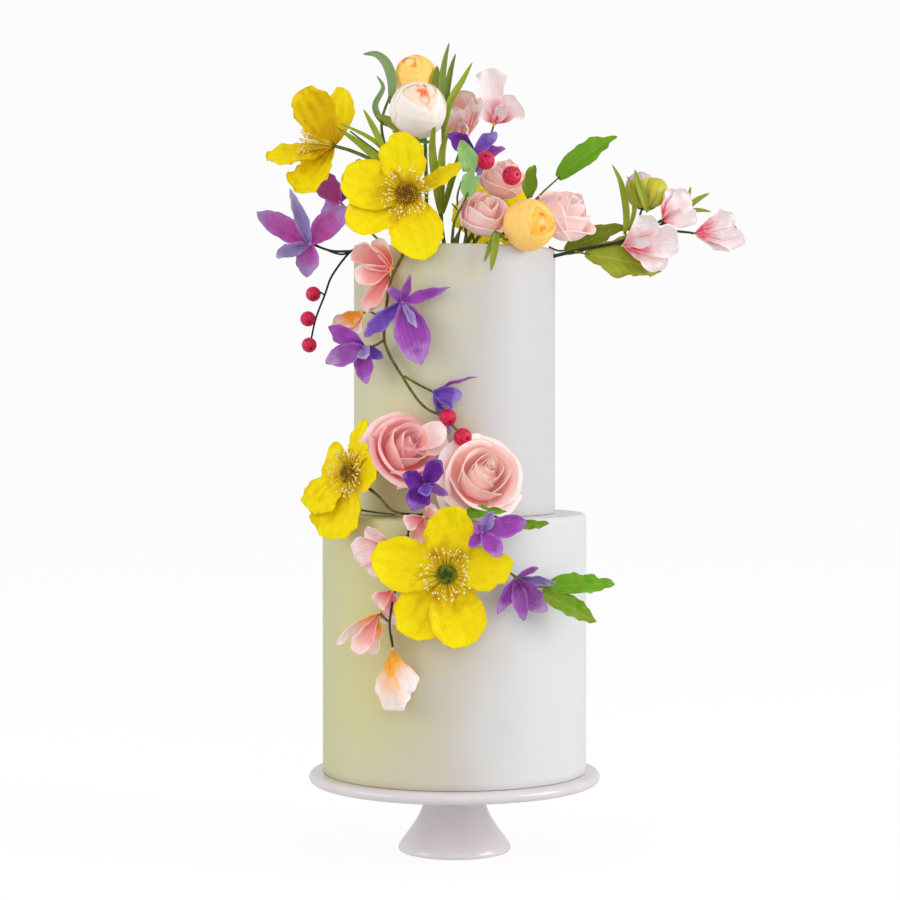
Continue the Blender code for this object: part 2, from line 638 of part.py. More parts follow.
def fuse(name, bodies, colour):
    """One object of bodies that overlap."""
    made = add_object(name, bodies[0], colour)
    others = [add_object("body", body, colour) for body in bodies[1:]]
    if others:
        combine(made, others, "UNION")
    keep_largest(made)
    return made


def make_flower(flower):
    """A flower of separate petals round a small boss."""
    heart, aim = Vector(flower.heart), direction(*flower.aim)
    bodies = [ball_body(heart, flower.core, aim, BOSS_SQUASH)]
    bodies += [sheet_body(heart, petal, aim, flower.form) for petal in flower.petals]
    return fuse(flower.name, bodies, flower.colour)


def make_rosette(rose):
    """A rose: a round folded bud in a ring of petals that grow from its lower half."""
    heart, aim = Vector(rose.heart), direction(*rose.aim)
    across = aim.orthogonal().normalized()
    other = aim.cross(across)
    bud_radius = rose.radius * (SHUT_BUD - BUD_OPENS * rose.open)
    bodies = [ball_body(heart, bud_radius, aim, BUD_SQUASH, BUD_SIDES, BUD_RINGS, BUD_FOLDS)]
    for k in range(rose.petals):
        turn = 2 * math.pi * k / rose.petals + FIRST_TURN
        away = across * math.cos(turn) + other * math.sin(turn)
        root = heart - aim * bud_radius * ROOT_DEPTH + away * bud_radius * ROOT_OUT
        size = rose.radius * (1 - SIZE_STEP * (k % 3))
        reach = heart + (away + aim * PETAL_LIFT * (1 - rose.open)) * size - root
        form = replace(WRAPPED, bow=SHUT_BOW + BOW_OPENS * rose.open)
        bodies.append(sheet_body(root, Petal(*reach, rose.radius * WRAP_WIDTH), aim, form))
    return fuse(rose.name, bodies, rose.colour)


def make_spray(spray):
    """Leaves and stems that grow from each other, as one piece."""
    bodies = [stem_body(stem) for stem in spray.stems]
    for leaf in spray.leaves:
        foot, tip = Vector(leaf.foot), Vector(leaf.tip)
        petal = Petal(*(tip - foot), leaf.width)
        bodies.append(sheet_body(foot, petal, direction(*leaf.faces), leaf.form))
    return fuse(spray.name, bodies, spray.colour)


def make_berry(berry):
    """One round berry."""
    bm = bmesh.new()
    bmesh.ops.create_icosphere(bm, subdivisions=2, radius=berry.radius)
    bmesh.ops.translate(bm, vec=berry.middle, verts=bm.verts)
    return add_object(berry.name, bm, "berry")


def main():
    """Build the cake, its stand and each flower, the foremost pieces first."""
    clear_scene()
    pieces = [
        make_stand(),
        make_tier("tier_lower", LOWER_RADIUS, PLATE_TOP + GAP, LOWER_TOP),
        make_tier("tier_upper", UPPER_RADIUS, LOWER_TOP + GAP, UPPER_TOP),
    ]
    pieces += [make_berry(berry) for berry in BERRIES]
    makers = [(make_flower, flower, PETALS_KEPT) for flower in BUTTERCUPS + VIOLETS]
    makers += [(make_rosette, rose, FOLDS_KEPT) for rose in ROSETTES + (BUD,)]
    makers += [(make_flower, flower, PETALS_KEPT) for flower in PEAS]
    makers += [(make_spray, spray, STEMS_KEPT) for spray in SPRAYS + STEMS]
    shares = {}
    for make, values, share in makers:
        piece = make(values)
        fit_between(piece, pieces)
        pieces.append(piece)
        shares[piece] = share
    for piece, share in shares.items():
        thin_out(piece, share)
        piece.data.shade_smooth()
        piece.data.set_sharp_from_angle(angle=math.radians(PETAL_SHARP))


main()
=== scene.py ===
"""Looks of a two-tier wedding cake on its stand, dressed with sugar flowers.

Sizes and places in the tables are millimetres: X to the right, Y away from the front, Z up.
The origin is the middle of the stand's foot, on the table.
"""
import logging
import math
import random
from dataclasses import dataclass, replace
from enum import Enum
from typing import Any, Callable, Mapping, NamedTuple, Optional, Sequence, Union

import bpy
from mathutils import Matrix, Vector, noise


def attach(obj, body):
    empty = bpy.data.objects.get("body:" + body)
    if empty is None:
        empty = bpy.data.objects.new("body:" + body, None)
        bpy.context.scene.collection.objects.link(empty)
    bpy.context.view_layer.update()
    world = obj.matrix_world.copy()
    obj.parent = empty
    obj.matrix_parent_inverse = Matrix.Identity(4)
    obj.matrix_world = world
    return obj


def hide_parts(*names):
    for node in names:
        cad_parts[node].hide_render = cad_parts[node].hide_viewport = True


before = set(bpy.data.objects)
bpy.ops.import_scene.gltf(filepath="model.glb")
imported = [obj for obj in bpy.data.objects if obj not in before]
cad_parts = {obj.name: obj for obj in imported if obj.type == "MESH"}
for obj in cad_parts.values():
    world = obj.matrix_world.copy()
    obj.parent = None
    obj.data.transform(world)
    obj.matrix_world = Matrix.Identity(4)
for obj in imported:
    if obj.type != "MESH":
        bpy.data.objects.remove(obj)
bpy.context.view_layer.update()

LOG = logging.getLogger("wedding_cake")
MM = 0.001
UP = Vector((0, 0, 1))
GOLDEN_TURN = math.pi * (3 - math.sqrt(5))     # between one seed of a flower and the next
MARKS = ("along", "across", "inner", "tint")   # what each point of a mesh tells its material
NOISE_SEED = 7                                 # without one the petals' edges differ each time

Place = tuple[float, float, float]
Aim = tuple[float, float]                      # azimuth (0 = front, 90 = right) and elevation
Profile = list[tuple[float, float]]            # radii and heights
Colour = tuple[int, int, int]                  # as it looks on a screen, 0 to 255


class Slot(Enum):
    """The material slots of the record."""
    ICING = "icing"
    CERAMIC = "ceramic"
    YELLOW = "yellow_petal"
    PURPLE = "purple_petal"
    ROSE = "rose_petal"
    WHITE = "white_petal"
    PEACH = "peach_petal"
    PINK = "pink_petal"
    BERRY = "berry"
    LEAF = "leaf"
    TWIG = "twig"
    BUD = "bud"


def paint(colour: Colour) -> tuple[float, ...]:
    """Turn a colour into what a shader takes.

    Args:
        colour: the colour.

    Returns:
        Its red, green and blue in linear light, and an alpha of 1.
    """
    shares = [value / 255 for value in colour]
    linear = [share / 12.92 if share <= 0.04045 else ((share + 0.055) / 1.055) ** 2.4
              for share in shares]
    return (*linear, 1.0)


def direction(azimuth: float, elevation: float) -> Vector:
    """The unit vector of an aim, in degrees."""
    turn, rise = math.radians(azimuth), math.radians(elevation)
    return Vector((math.sin(turn) * math.cos(rise), -math.cos(turn) * math.cos(rise), math.sin(rise)))


def eased(value: float, low: float, high: float) -> float:
    """0 below low and 1 above high, with a smooth step between them."""
    part = min(max((value - low) / (high - low), 0.0), 1.0)
    return part * part * (3 - 2 * part)


def ways_across(axis: Vector) -> tuple[Vector, Vector]:
    """Two ways at right angles to an axis and to each other."""
    first = axis.orthogonal().normalized()
    return first, axis.cross(first)


def outwards(ways: tuple[Vector, Vector], turn: float) -> Vector:
    """The way out at a turn from the first of two ways towards the second."""
    return ways[0] * math.cos(turn) + ways[1] * math.sin(turn)


def grid(steps: int, lanes: int, spot: Callable[[float, float], Vector]) -> list[list[Vector]]:
    """Work out the points of a sheet.

    Args:
        steps: how many steps it has from its foot to its rim.
        lanes: how many lanes it has across.
        spot: gives a point by its shares of the way up and across, 0 to 1.

    Returns:
        Rows of points from the foot to the rim.
    """
    return [[spot(i / steps, j / lanes) for j in range(lanes + 1)] for i in range(steps + 1)]


def rounded_edge(radius: float, top: float, bend: float, start: float, parts: int) -> Profile:
    """Work out the rounded edge of a profile that is turned.

    Args:
        radius: the profile's radius outside the edge.
        top: its height above the edge.
        bend: the radius of the rounding.
        start: where it starts, in degrees: 0 at the side and -90 below.
        parts: how many parts it has.

    Returns:
        Its points, which end on top.
    """
    turns = [math.radians(start + (90 - start) * k / parts) for k in range(parts + 1)]
    return [(radius - bend + bend * math.cos(turn), top - bend + bend * math.sin(turn)) for turn in turns]


class Reading:
    """A number that a node gives at each point of a surface, to reckon with."""

    def __init__(self, graph: "Graph", socket: bpy.types.NodeSocket) -> None:
        """Wrap one socket of a graph."""
        self.graph = graph
        self.socket = socket

    def maths(self, operation: str, first: Any, second: Any = 0.0) -> "Reading":
        """A Math node on one number or two."""
        made = self.graph.node("ShaderNodeMath", {"operation": operation}, {0: first, 1: second})
        return Reading(self.graph, made.outputs[0])

    def __add__(self, other: Any) -> "Reading":
        """This number and another."""
        return self.maths("ADD", self, other)

    __radd__ = __add__

    def __sub__(self, other: Any) -> "Reading":
        """This number less another."""
        return self.maths("SUBTRACT", self, other)

    def __rsub__(self, other: Any) -> "Reading":
        """Another number less this one."""
        return self.maths("SUBTRACT", other, self)

    def __mul__(self, other: Any) -> "Reading":
        """This number times another."""
        return self.maths("MULTIPLY", self, other)

    __rmul__ = __mul__

    def __pow__(self, other: Any) -> "Reading":
        """This number to a power."""
        return self.maths("POWER", self, other)

    def sine(self) -> "Reading":
        """The sine of this number."""
        return self.maths("SINE", self)


class Graph:
    """The nodes of one material."""

    def __init__(self, name: str) -> None:
        """Start a material with no nodes.

        Args:
            name: the material's name.
        """
        self.material = bpy.data.materials.new(name)
        self.material.use_nodes = True
        self.tree = self.material.node_tree
        self.tree.nodes.clear()

    def node(self, kind: str, settings: Optional[Mapping[str, Any]] = None,
             sockets: Optional[Mapping[Union[str, int], Any]] = None) -> bpy.types.Node:
        """Add a node.

        Args:
            kind: the node's type.
            settings: its own settings, which are set first; stops are those of a ramp.
            sockets: values or links of its sockets, by name or by number.

        Returns:
            The node.
        """
        made = self.tree.nodes.new(kind)
        for key, value in (settings or {}).items():
            if key == "stops":
                self.set_stops(made.color_ramp, value)
            else:
                setattr(made, key, value)
        for key, value in (sockets or {}).items():
            if isinstance(value, Reading):
                self.tree.links.new(value.socket, made.inputs[key])
            elif isinstance(value, bpy.types.NodeSocket):
                self.tree.links.new(value, made.inputs[key])
            else:
                made.inputs[key].default_value = value
        return made

    @staticmethod
    def set_stops(ramp: bpy.types.ColorRamp, stops: Sequence[tuple[float, Colour]]) -> None:
        """Give a ramp its stops.

        Args:
            ramp: the ramp of a new node, which has two stops.
            stops: places from 0 to 1 with their colours, in order.
        """
        for _ in stops[2:]:
            ramp.elements.new(1.0)
        for element, (place, colour) in zip(ramp.elements, stops):
            element.position = place
            element.color = paint(colour)

    def mark(self, name: str) -> Reading:
        """One of the numbers that the mesh carries at its points."""
        made = self.node("ShaderNodeAttribute", {"attribute_name": name})
        return Reading(self, made.outputs["Fac"])

    def place(self) -> bpy.types.NodeSocket:
        """The place on the object in millimetres.

        Returns:
            The socket that gives it.
        """
        spot = self.node("ShaderNodeTexCoord").outputs["Object"]
        made = self.node("ShaderNodeVectorMath", {"operation": "SCALE"}, {0: spot, "Scale": 1 / MM})
        return made.outputs[0]

    def cloud(self, size: float, detail: float = 2.0, stretch: Optional[Place] = None) -> Reading:
        """A soft irregular pattern.

        Args:
            size: how large its patches are, in millimetres.
            detail: how many finer layers it has.
            stretch: factors on the three axes, if it isn't even.

        Returns:
            A number about 0.5, from 0 to 1.
        """
        spot = self.place()
        if stretch:
            drawn = self.node("ShaderNodeVectorMath", {"operation": "MULTIPLY"}, {0: spot, 1: stretch})
            spot = drawn.outputs[0]
        made = self.node("ShaderNodeTexNoise", {}, {"Vector": spot, "Scale": 1 / size, "Detail": detail})
        return Reading(self, made.outputs[0])

    def between(self, value: Reading, low: float, high: float) -> Reading:
        """0 where a number is below low and 1 where it is above high, smooth between them.

        Args:
            value: the number.
            low: where it starts to rise.
            high: where it is 1.

        Returns:
            The number from 0 to 1.
        """
        made = self.node("ShaderNodeMapRange", {"interpolation_type": "SMOOTHSTEP"},
                         {"Value": value, "From Min": low, "From Max": high})
        return Reading(self, made.outputs[0])

    def ramp(self, value: Reading, *stops: tuple[float, Colour]) -> bpy.types.NodeSocket:
        """A colour that changes with a number."""
        return self.node("ShaderNodeValToRGB", {"stops": stops}, {"Fac": value}).outputs["Color"]

    def mix(self, share: Any, first: Any, second: Any) -> bpy.types.NodeSocket:
        """Lay one colour over another. Each is a socket or a colour.

        Args:
            share: how much of the second, 0 to 1.
            first: the colour below.
            second: the colour on top.

        Returns:
            The colour's socket.
        """
        below, above = (paint(one) if isinstance(one, tuple) else one for one in (first, second))
        made = self.node("ShaderNodeMix", {"data_type": "RGBA"}, {0: share, 6: below, 7: above})
        return made.outputs[2]

    def relief(self, height: Reading) -> bpy.types.NodeSocket:
        """A normal for a relief whose height is in millimetres."""
        return self.node("ShaderNodeBump", {}, {"Height": height, "Distance": MM}).outputs["Normal"]

    def surface(self, varied: Mapping[str, Any], fixed: Mapping[str, Any]) -> bpy.types.Material:
        """End the material with its shader.

        Args:
            varied: what changes over the surface, by socket.
            fixed: what is the same all over it, by socket.

        Returns:
            The material.
        """
        shader = self.node("ShaderNodeBsdfPrincipled", {}, {**fixed, **varied})
        self.node("ShaderNodeOutputMaterial", {}, {"Surface": shader.outputs[0]})
        return self.material


class Finish:
    """What a surface looks like. Each finish makes its material once."""
    name: str

    def material(self) -> bpy.types.Material:
        """The finish as a material."""
        label = f"{self.name}_finish"
        return bpy.data.materials.get(label) or self.make(Graph(label))

    def make(self, graph: Graph) -> bpy.types.Material:
        """Fill the material's nodes.

        Args:
            graph: the material's nodes.

        Returns:
            The material.
        """
        raise NotImplementedError


@dataclass(frozen=True)
class Icing(Finish):
    """Satin icing with a soft wash of lime and peach on its left."""
    name: str
    radius: float
    white: Colour = (222, 222, 223)
    cream: Colour = (213, 206, 198)
    lime: Colour = (212, 207, 152)
    moss: Colour = (203, 203, 158)
    peach: Colour = (222, 200, 152)
    cream_ends: tuple[float, float] = (0.0, 0.62)      # from full to none, in radii from the middle
    lime_ends: tuple[float, float] = (-0.55, 0.30)
    moss_ends: tuple[float, float] = (-0.99, -0.72)
    back_starts: tuple[float, float] = (-0.2, 0.85)    # where the plain back comes in, from none to full

    def make(self, graph: Graph) -> bpy.types.Material:
        """Wash the colours round the tier: lime at the left, cream, then white.

        Args:
            graph: the material's nodes.

        Returns:
            The material.
        """
        parts = graph.node("ShaderNodeSeparateXYZ", {}, {0: graph.place()}).outputs
        sideways = Reading(graph, parts[0]) * (1 / self.radius)
        depth = Reading(graph, parts[1]) * (1 / self.radius)
        height = Reading(graph, parts[2])
        # The washes wander with a cloud and reach a little further right higher up
        drift = (graph.cloud(70) - 0.5) * 0.55 + (height - 300) * -0.0004
        place = sideways + drift
        wash = (1 - graph.between(place, *self.lime_ends)) * (graph.between(height, 60, 135) * 0.5 + 0.5)
        far = graph.between(depth, *self.back_starts)
        colour = graph.mix(1 - graph.between(place, *self.cream_ends), self.white, self.cream)
        colour = graph.mix(wash, colour, self.lime)
        colour = graph.mix(1 - graph.between(sideways, *self.moss_ends), colour, self.moss)
        # Spots of peach in a band between the lime and the white
        spots = graph.between(graph.cloud(47, 1.0), 0.48, 0.74)
        band = graph.between(place, -0.75, -0.25) * (1 - graph.between(place, 0.05, 0.4))
        band = band * graph.between(height, 110, 190)
        colour = graph.mix(spots * band * 0.6, colour, self.peach)
        colour = graph.mix(far * 0.9, colour, self.white)
        grain = graph.cloud(1.6, 3) * 0.04 + graph.cloud(14) * 0.25
        rough = graph.cloud(9) * 0.12 + 0.42
        return graph.surface(
            {"Base Color": colour, "Roughness": rough, "Normal": graph.relief(grain)},
            {"Subsurface Weight": 0.25, "Subsurface Scale": 0.004, "Subsurface Radius": (1.0, 0.8, 0.6),
             "Specular IOR Level": 0.35})


@dataclass(frozen=True)
class Glaze(Finish):
    """Glossy white glaze with a faint rosy cast."""
    name: str = "rosy_white_glaze"
    colour: Colour = (226, 219, 220)
    shade: Colour = (220, 212, 214)

    def make(self, graph: Graph) -> bpy.types.Material:
        """A glaze that pools a little, over fired clay.

        Args:
            graph: the material's nodes.

        Returns:
            The material.
        """
        pooled = graph.cloud(30)
        colour = graph.mix(graph.between(pooled, 0.35, 0.7), self.colour, self.shade)
        wavy = graph.cloud(16, 1) * 0.10 + graph.cloud(2.5) * 0.012
        return graph.surface(
            {"Base Color": colour, "Roughness": pooled * 0.10 + 0.14, "Normal": graph.relief(wavy)},
            {"Coat Weight": 0.3, "Coat Roughness": 0.14, "Subsurface Weight": 0.1, "Subsurface Scale": 0.003})


@dataclass(frozen=True)
class PetalFinish(Finish):
    """Rolled sugar paste, dusted with colour from the heart outwards; in roses the deeper heart is partly
    painted shade.
    """
    name: str
    heart: Colour
    body: Colour
    rim: Colour
    back: Colour
    base: Optional[Colour] = None    # of the outside at the foot, if not the heart's
    reach: float = 0.35          # how far the heart's colour runs, of the petal's length
    hold: float = 0.0            # how much of that has its full colour
    rim_starts: float = 0.86
    rim_soft: float = 0.25       # length over which the rim's colour comes in
    edge: float = 0.5            # how strongly the side edges take the rim's colour
    veins: float = 0.15          # how dark the veins are
    vein_count: float = 5.0
    patch: float = 9.0           # size of the patches that the dusting leaves
    drift: float = 0.25          # how far the patches shift the colours
    roughness: float = 0.55
    specks: float = 0.0          # how dark the fine specks are
    glow: float = 0.02           # painted light: how strongly the petal glows in its own colour, to lighten its shade

    def tinted(self, name: str, heart: Colour, body: Colour, rim: Colour, back: Colour,
               **other: Any) -> "PetalFinish":
        """The same finish in other colours.

        Args:
            name: its name.
            heart: its colour at the heart.
            body: its colour in the middle.
            rim: its colour at the edge.
            back: its colour outside.
            other: what else differs, by field.

        Returns:
            The new finish.
        """
        return replace(self, name=name, heart=heart, body=body, rim=rim, back=back, **other)

    def make(self, graph: Graph) -> bpy.types.Material:
        """Colours along the petal, veins, a fine powdery grain and a painted glow in the petal's own colour.

        Args:
            graph: the material's nodes.

        Returns:
            The material.
        """
        across, tint = graph.mark("across"), graph.mark("tint")
        patches = graph.cloud(self.patch, 3)
        along = graph.mark("along") + (patches - 0.5) * self.drift + tint * 0.12
        full = self.reach * self.hold
        front = graph.ramp(along, (0.0, self.heart), (full, self.heart), (self.reach, self.body),
                           (self.rim_starts - 0.6 * self.rim_soft, self.body),
                           (min(self.rim_starts + 0.4 * self.rim_soft, 1.0), self.rim))
        sides = graph.between(across + (patches - 0.5) * 0.3, 0.72, 1.0)
        front = graph.mix(sides * self.edge, front, self.rim)
        base = self.base or self.heart
        outside = graph.ramp(along, (0.0, base), (full, base), (self.reach, self.back))
        colour = graph.mix(graph.mark("inner"), outside, front)
        lines = (across * (self.vein_count * 2 * math.pi) + patches * 7).sine() * 0.5 + 0.5
        lines = lines ** 3.0
        colour = graph.mix(lines * self.veins, colour, self.heart)
        if self.specks:
            near = 1 - graph.between(along, 0.45, 0.85) * 0.7
            fine = graph.between(graph.cloud(1.3), 0.60, 0.70)
            colour = graph.mix(fine * near * self.specks, colour, self.heart)
        shade = (graph.cloud(3.0, 3) - 0.5) * 0.5
        colour = graph.mix(graph.between(shade, 0.0, 0.25) * 0.22, colour, self.back)
        height = lines * 0.10 + graph.cloud(0.9) * 0.05 + graph.cloud(4.0) * 0.30
        rough = graph.cloud(2.0) * 0.14 + (self.roughness - 0.07)
        # The emission is painted light: the petal glows in its own colour so that its shade stays light
        return graph.surface(
            {"Base Color": colour, "Roughness": rough, "Emission Color": colour,
             "Normal": graph.relief(height)},
            {"Subsurface Weight": 0.08, "Subsurface Scale": 0.001, "Specular IOR Level": 0.12,
             "Emission Strength": self.glow})


@dataclass(frozen=True)
class LeafFinish(Finish):
    """Leaves of sugar paste: tint 0 is fresh green and tint 1 olive with brown."""
    name: str
    fresh: Colour
    olive: Colour
    rust: Colour
    rib: Colour
    back: Colour

    def make(self, graph: Graph) -> bpy.types.Material:
        """A midrib, side veins, and patches of another green.

        Args:
            graph: the material's nodes.

        Returns:
            The material.
        """
        along, across, tint = graph.mark("along"), graph.mark("across"), graph.mark("tint")
        patches = graph.cloud(11, 3)
        colour = graph.mix(graph.between(patches + tint, 0.42, 1.15), self.fresh, self.olive)
        worn = graph.between(across + patches * 0.8 + tint * 0.5, 1.50, 1.90)
        colour = graph.mix(worn * 0.8, colour, self.rust)
        side = ((along * 46 - across * 9) + patches * 2).sine() * 0.5 + 0.5
        side = side ** 6.0
        colour = graph.mix(side * 0.18, colour, self.rib)
        colour = graph.mix((1 - graph.between(across, 0.02, 0.09)) * 0.6, colour, self.rib)
        colour = graph.mix((1 - graph.mark("inner")) * 0.55, colour, self.back)
        height = side * 0.14 + graph.cloud(2.2, 3) * 0.18
        rough = graph.cloud(5) * 0.2 + 0.34
        return graph.surface(
            {"Base Color": colour, "Roughness": rough, "Normal": graph.relief(height)},
            {"Subsurface Weight": 0.1, "Subsurface Scale": 0.002, "Specular IOR Level": 0.22})


@dataclass(frozen=True)
class Plain(Finish):
    """One colour with a darker mottling, for small parts and stems."""
    name: str
    colour: Colour
    dark: Colour
    patch: float = 1.5
    streak: float = 1.0          # how far the mottling is drawn out upwards
    roughness: float = 0.5
    relief: float = 0.12
    gloss: float = 0.0

    def make(self, graph: Graph) -> bpy.types.Material:
        """Mottled colour and a fine relief.

        Args:
            graph: the material's nodes.

        Returns:
            The material.
        """
        patches = graph.cloud(self.patch, 3, (1, 1, 1 / self.streak))
        mottled = graph.between(patches + graph.mark("tint") * 0.3, 0.40, 0.72)
        colour = graph.mix(mottled, self.colour, self.dark)
        return graph.surface(
            {"Base Color": colour, "Roughness": patches * 0.1 + (self.roughness - 0.05),
             "Normal": graph.relief(patches * self.relief)},
            {"Subsurface Weight": 0.1, "Subsurface Scale": 0.002, "Coat Weight": self.gloss,
             "Coat Roughness": 0.15, "Specular IOR Level": 0.25})


@dataclass(frozen=True)
class Striped(Finish):
    """A green bud with upright ribs that fade to mauve at its top."""
    name: str = "striped_bud"
    green: Colour = (206, 200, 52)
    rib: Colour = (150, 132, 50)
    top: Colour = (228, 200, 212)

    def make(self, graph: Graph) -> bpy.types.Material:
        """Ribs by the turn round the bud, and a mauve cap by its height.

        Args:
            graph: the material's nodes.

        Returns:
            The material.
        """
        along, across = graph.mark("along"), graph.mark("across")
        ribs = (across * (22 * math.pi)).sine() * 0.5 + 0.5
        ribs = ribs ** 4.0
        patches = graph.cloud(6)
        low = 1 - graph.between(along, 0.35, 0.62)
        colour = graph.mix(ribs * low * 0.7, self.green, self.rib)
        colour = graph.mix(graph.between(along + (patches - 0.5) * 0.3, 0.62, 0.8), colour, self.top)
        return graph.surface(
            {"Base Color": colour, "Roughness": patches * 0.2 + 0.4, "Normal": graph.relief(ribs * 0.3)},
            {"Subsurface Weight": 0.2, "Subsurface Scale": 0.003})


@dataclass(frozen=True)
class Backdrop(Finish):
    """An even white for the stage: part light of its own, part lit."""
    name: str
    light: float
    lit: float = 0.0

    def make(self, graph: Graph) -> bpy.types.Material:
        """A flat, nearly white surface.

        Args:
            graph: the material's nodes.

        Returns:
            The material.
        """
        return graph.surface(
            {}, {"Base Color": (self.lit, self.lit, self.lit, 1), "Roughness": 1.0, "Specular IOR Level": 0.0,
                 "Emission Color": (1, 1, 1, 1), "Emission Strength": self.light})


# The colours of petals: heart, body, rim, back
YELLOW = PetalFinish("yellow_petal", (196, 142, 0), (247, 223, 2), (250, 231, 8), (230, 192, 2), reach=0.46,
                     edge=0.3, veins=0.07, vein_count=3, drift=0.8, roughness=0.5, specks=0.45)
GOLDEN = YELLOW.tinted("golden_petal", (212, 162, 0), (230, 192, 2), (242, 216, 6), (230, 190, 2))
BRIGHT = replace(YELLOW, name="bright_petal", back=(248, 226, 6), base=(240, 208, 0))
PURPLE = PetalFinish("purple_petal", (126, 50, 152), (170, 82, 184), (196, 146, 214), (158, 98, 188),
                     reach=0.34, veins=0.34, vein_count=4, patch=6, drift=0.6)
MAGENTA = PURPLE.tinted("magenta_petal", (184, 66, 154), (190, 104, 184), (176, 150, 208), (162, 132, 194),
                        reach=0.6, rim_starts=0.72, edge=0.8)
DEEP_VIOLET = PURPLE.tinted("deep_violet_petal", (66, 20, 106), (112, 42, 152), (166, 116, 200),
                            (94, 52, 150), edge=0.35)
LILAC = PURPLE.tinted("lilac_petal", (112, 84, 160), (160, 140, 196), (206, 190, 224), (156, 142, 196),
                      veins=0.25)
BLUE_VIOLET = PURPLE.tinted("blue_violet_petal", (88, 46, 150), (130, 88, 190), (180, 152, 220),
                            (122, 86, 186))
MAUVE_PETAL = PURPLE.tinted("mauve_petal", (122, 52, 144), (168, 98, 182), (204, 166, 214), (150, 98, 178))
# A rose petal's deeper heart colour at its foot is partly the rose's own deeper pink and partly painted shade
# of the crevices between petals
ROSE = PetalFinish("rose_petal", (248, 172, 164), (254, 216, 208), (255, 240, 235), (254, 214, 206),
                   reach=0.75, rim_starts=0.93, edge=0.45, veins=0.05, vein_count=3, patch=14, drift=0.2,
                   roughness=0.6, glow=0.06)
DEEP_ROSE = ROSE.tinted("deep_rose_petal", (240, 144, 150), (250, 192, 190), (254, 222, 218), (248, 192, 188))
PALE_ROSE = ROSE.tinted("pale_rose_petal", (249, 176, 170), (254, 220, 215), (255, 248, 246), (254, 226, 222),
                        edge=0.8)
FADED_ROSE = ROSE.tinted("faded_rose_petal", (252, 206, 198), (254, 232, 227), (255, 246, 244),
                         (254, 230, 224))
MAUVE = ROSE.tinted("mauve_rose_heart", (206, 104, 146), (228, 150, 174), (242, 186, 196), (226, 152, 172))
WHITE = PetalFinish("white_petal", (240, 222, 210), (250, 240, 232), (253, 246, 240), (250, 240, 233),
                    (214, 216, 170), reach=0.25, edge=0.2, veins=0.03, vein_count=3, patch=15, drift=0.2,
                    roughness=0.6, glow=0.04)
ORANGE_HEART = WHITE.tinted("orange_heart", (250, 150, 90), (254, 220, 192), (250, 128, 62), (253, 228, 206),
                            base=None, rim_starts=0.95, rim_soft=0.07)
PEACH = WHITE.tinted("peach_petal", (252, 180, 70), (255, 208, 112), (255, 228, 158), (255, 207, 118),
                     base=(252, 200, 150), glow=0.09)
ORANGE = WHITE.tinted("orange_petal", (252, 140, 14), (255, 152, 30), (255, 226, 160), (254, 190, 80),
                      base=None, rim_starts=0.95, rim_soft=0.08, glow=0.09)
AMBER = WHITE.tinted("amber_petal", (250, 146, 30), (255, 202, 104), (255, 222, 150), (253, 208, 112),
                     base=(250, 190, 70), glow=0.09, rim_starts=0.95, rim_soft=0.10)
PINK = PetalFinish("pink_petal", (218, 60, 106), (248, 216, 215), (250, 236, 236), (250, 220, 212),
                   (250, 184, 104), reach=0.48, rim_starts=0.80, veins=0.10, patch=8, drift=0.3,
                   roughness=0.6, glow=0.05)
WHITE_PINK = PINK.tinted("white_pink_petal", (226, 74, 112), (250, 232, 234), (250, 242, 243),
                         (250, 228, 226), reach=0.50, hold=0.3, rim_starts=0.7)
ORANGE_FOOT = PINK.tinted("orange_foot_petal", (250, 170, 50), (250, 222, 212), (250, 240, 238),
                          (250, 226, 216), base=(250, 176, 60), reach=0.62, hold=0.45)
SALMON = PINK.tinted("salmon_petal", (224, 84, 92), (247, 182, 174), (254, 238, 234), (249, 202, 190),
                     reach=0.62, edge=0.8)

# The colours of leaves: fresh, olive, rust, rib, back
LEAF = LeafFinish("leaf", (104, 168, 18), (130, 142, 30), (132, 104, 50), (140, 176, 60), (100, 134, 44))
WORN_LEAF = LeafFinish("worn_leaf", (156, 180, 36), (158, 166, 44), (160, 116, 60), (188, 196, 86),
                       (146, 162, 54))
SAGE = LeafFinish("sage_blade", (134, 160, 106), (122, 150, 62), (116, 130, 70), (160, 184, 126),
                  (130, 158, 112))
BLADE_GREEN = LeafFinish("green_blade", (158, 176, 46), (124, 142, 34), (140, 138, 40), (184, 192, 84),
                         (134, 152, 50))
DULL_GREEN = LeafFinish("dull_green_blade", (126, 148, 68), (118, 138, 44), (130, 132, 50), (160, 178, 96),
                        (118, 142, 72))
SEPAL = LeafFinish("sepal", (146, 190, 112), (116, 150, 60), (110, 112, 44), (170, 206, 140), (140, 178, 104))
OLIVE_SEPAL = LeafFinish("olive_sepal", (150, 160, 50), (120, 116, 30), (116, 78, 40), (170, 176, 80),
                         (150, 156, 60))

# The colours of stems and small parts, the size of their mottling and how far it is drawn out
GREEN_STEM = Plain("green_stem", (104, 128, 40), (66, 86, 26), 2.0, 4.0)
OLIVE_STEM = Plain("olive_stem", (112, 106, 34), (84, 62, 34), 2.5, 4.0)
DARK_STEM = Plain("dark_stem", (52, 60, 46), (26, 28, 24), 2.0, 4.0)
BLACK_TWIG = Plain("black_twig", (30, 30, 28), (14, 14, 12), 2.0, 4.0)
BERRY = Plain("berry", (224, 34, 82), (172, 12, 60), 2.2, roughness=0.4, relief=0.25, gloss=0.15)
BERRY_DOT = Plain("berry_dot", (70, 14, 26), (40, 8, 16), 1.0)
SEED = Plain("seed_head", (190, 152, 20), (130, 92, 14), 3.0)
GREEN_SEED = Plain("green_seed_head", (128, 138, 24), (66, 80, 14), 3.0)
FILAMENT = Plain("filament", (240, 214, 40), (206, 170, 20), 1.5)
ANTHER = Plain("anther", (252, 244, 190), (244, 226, 120), 1.0)


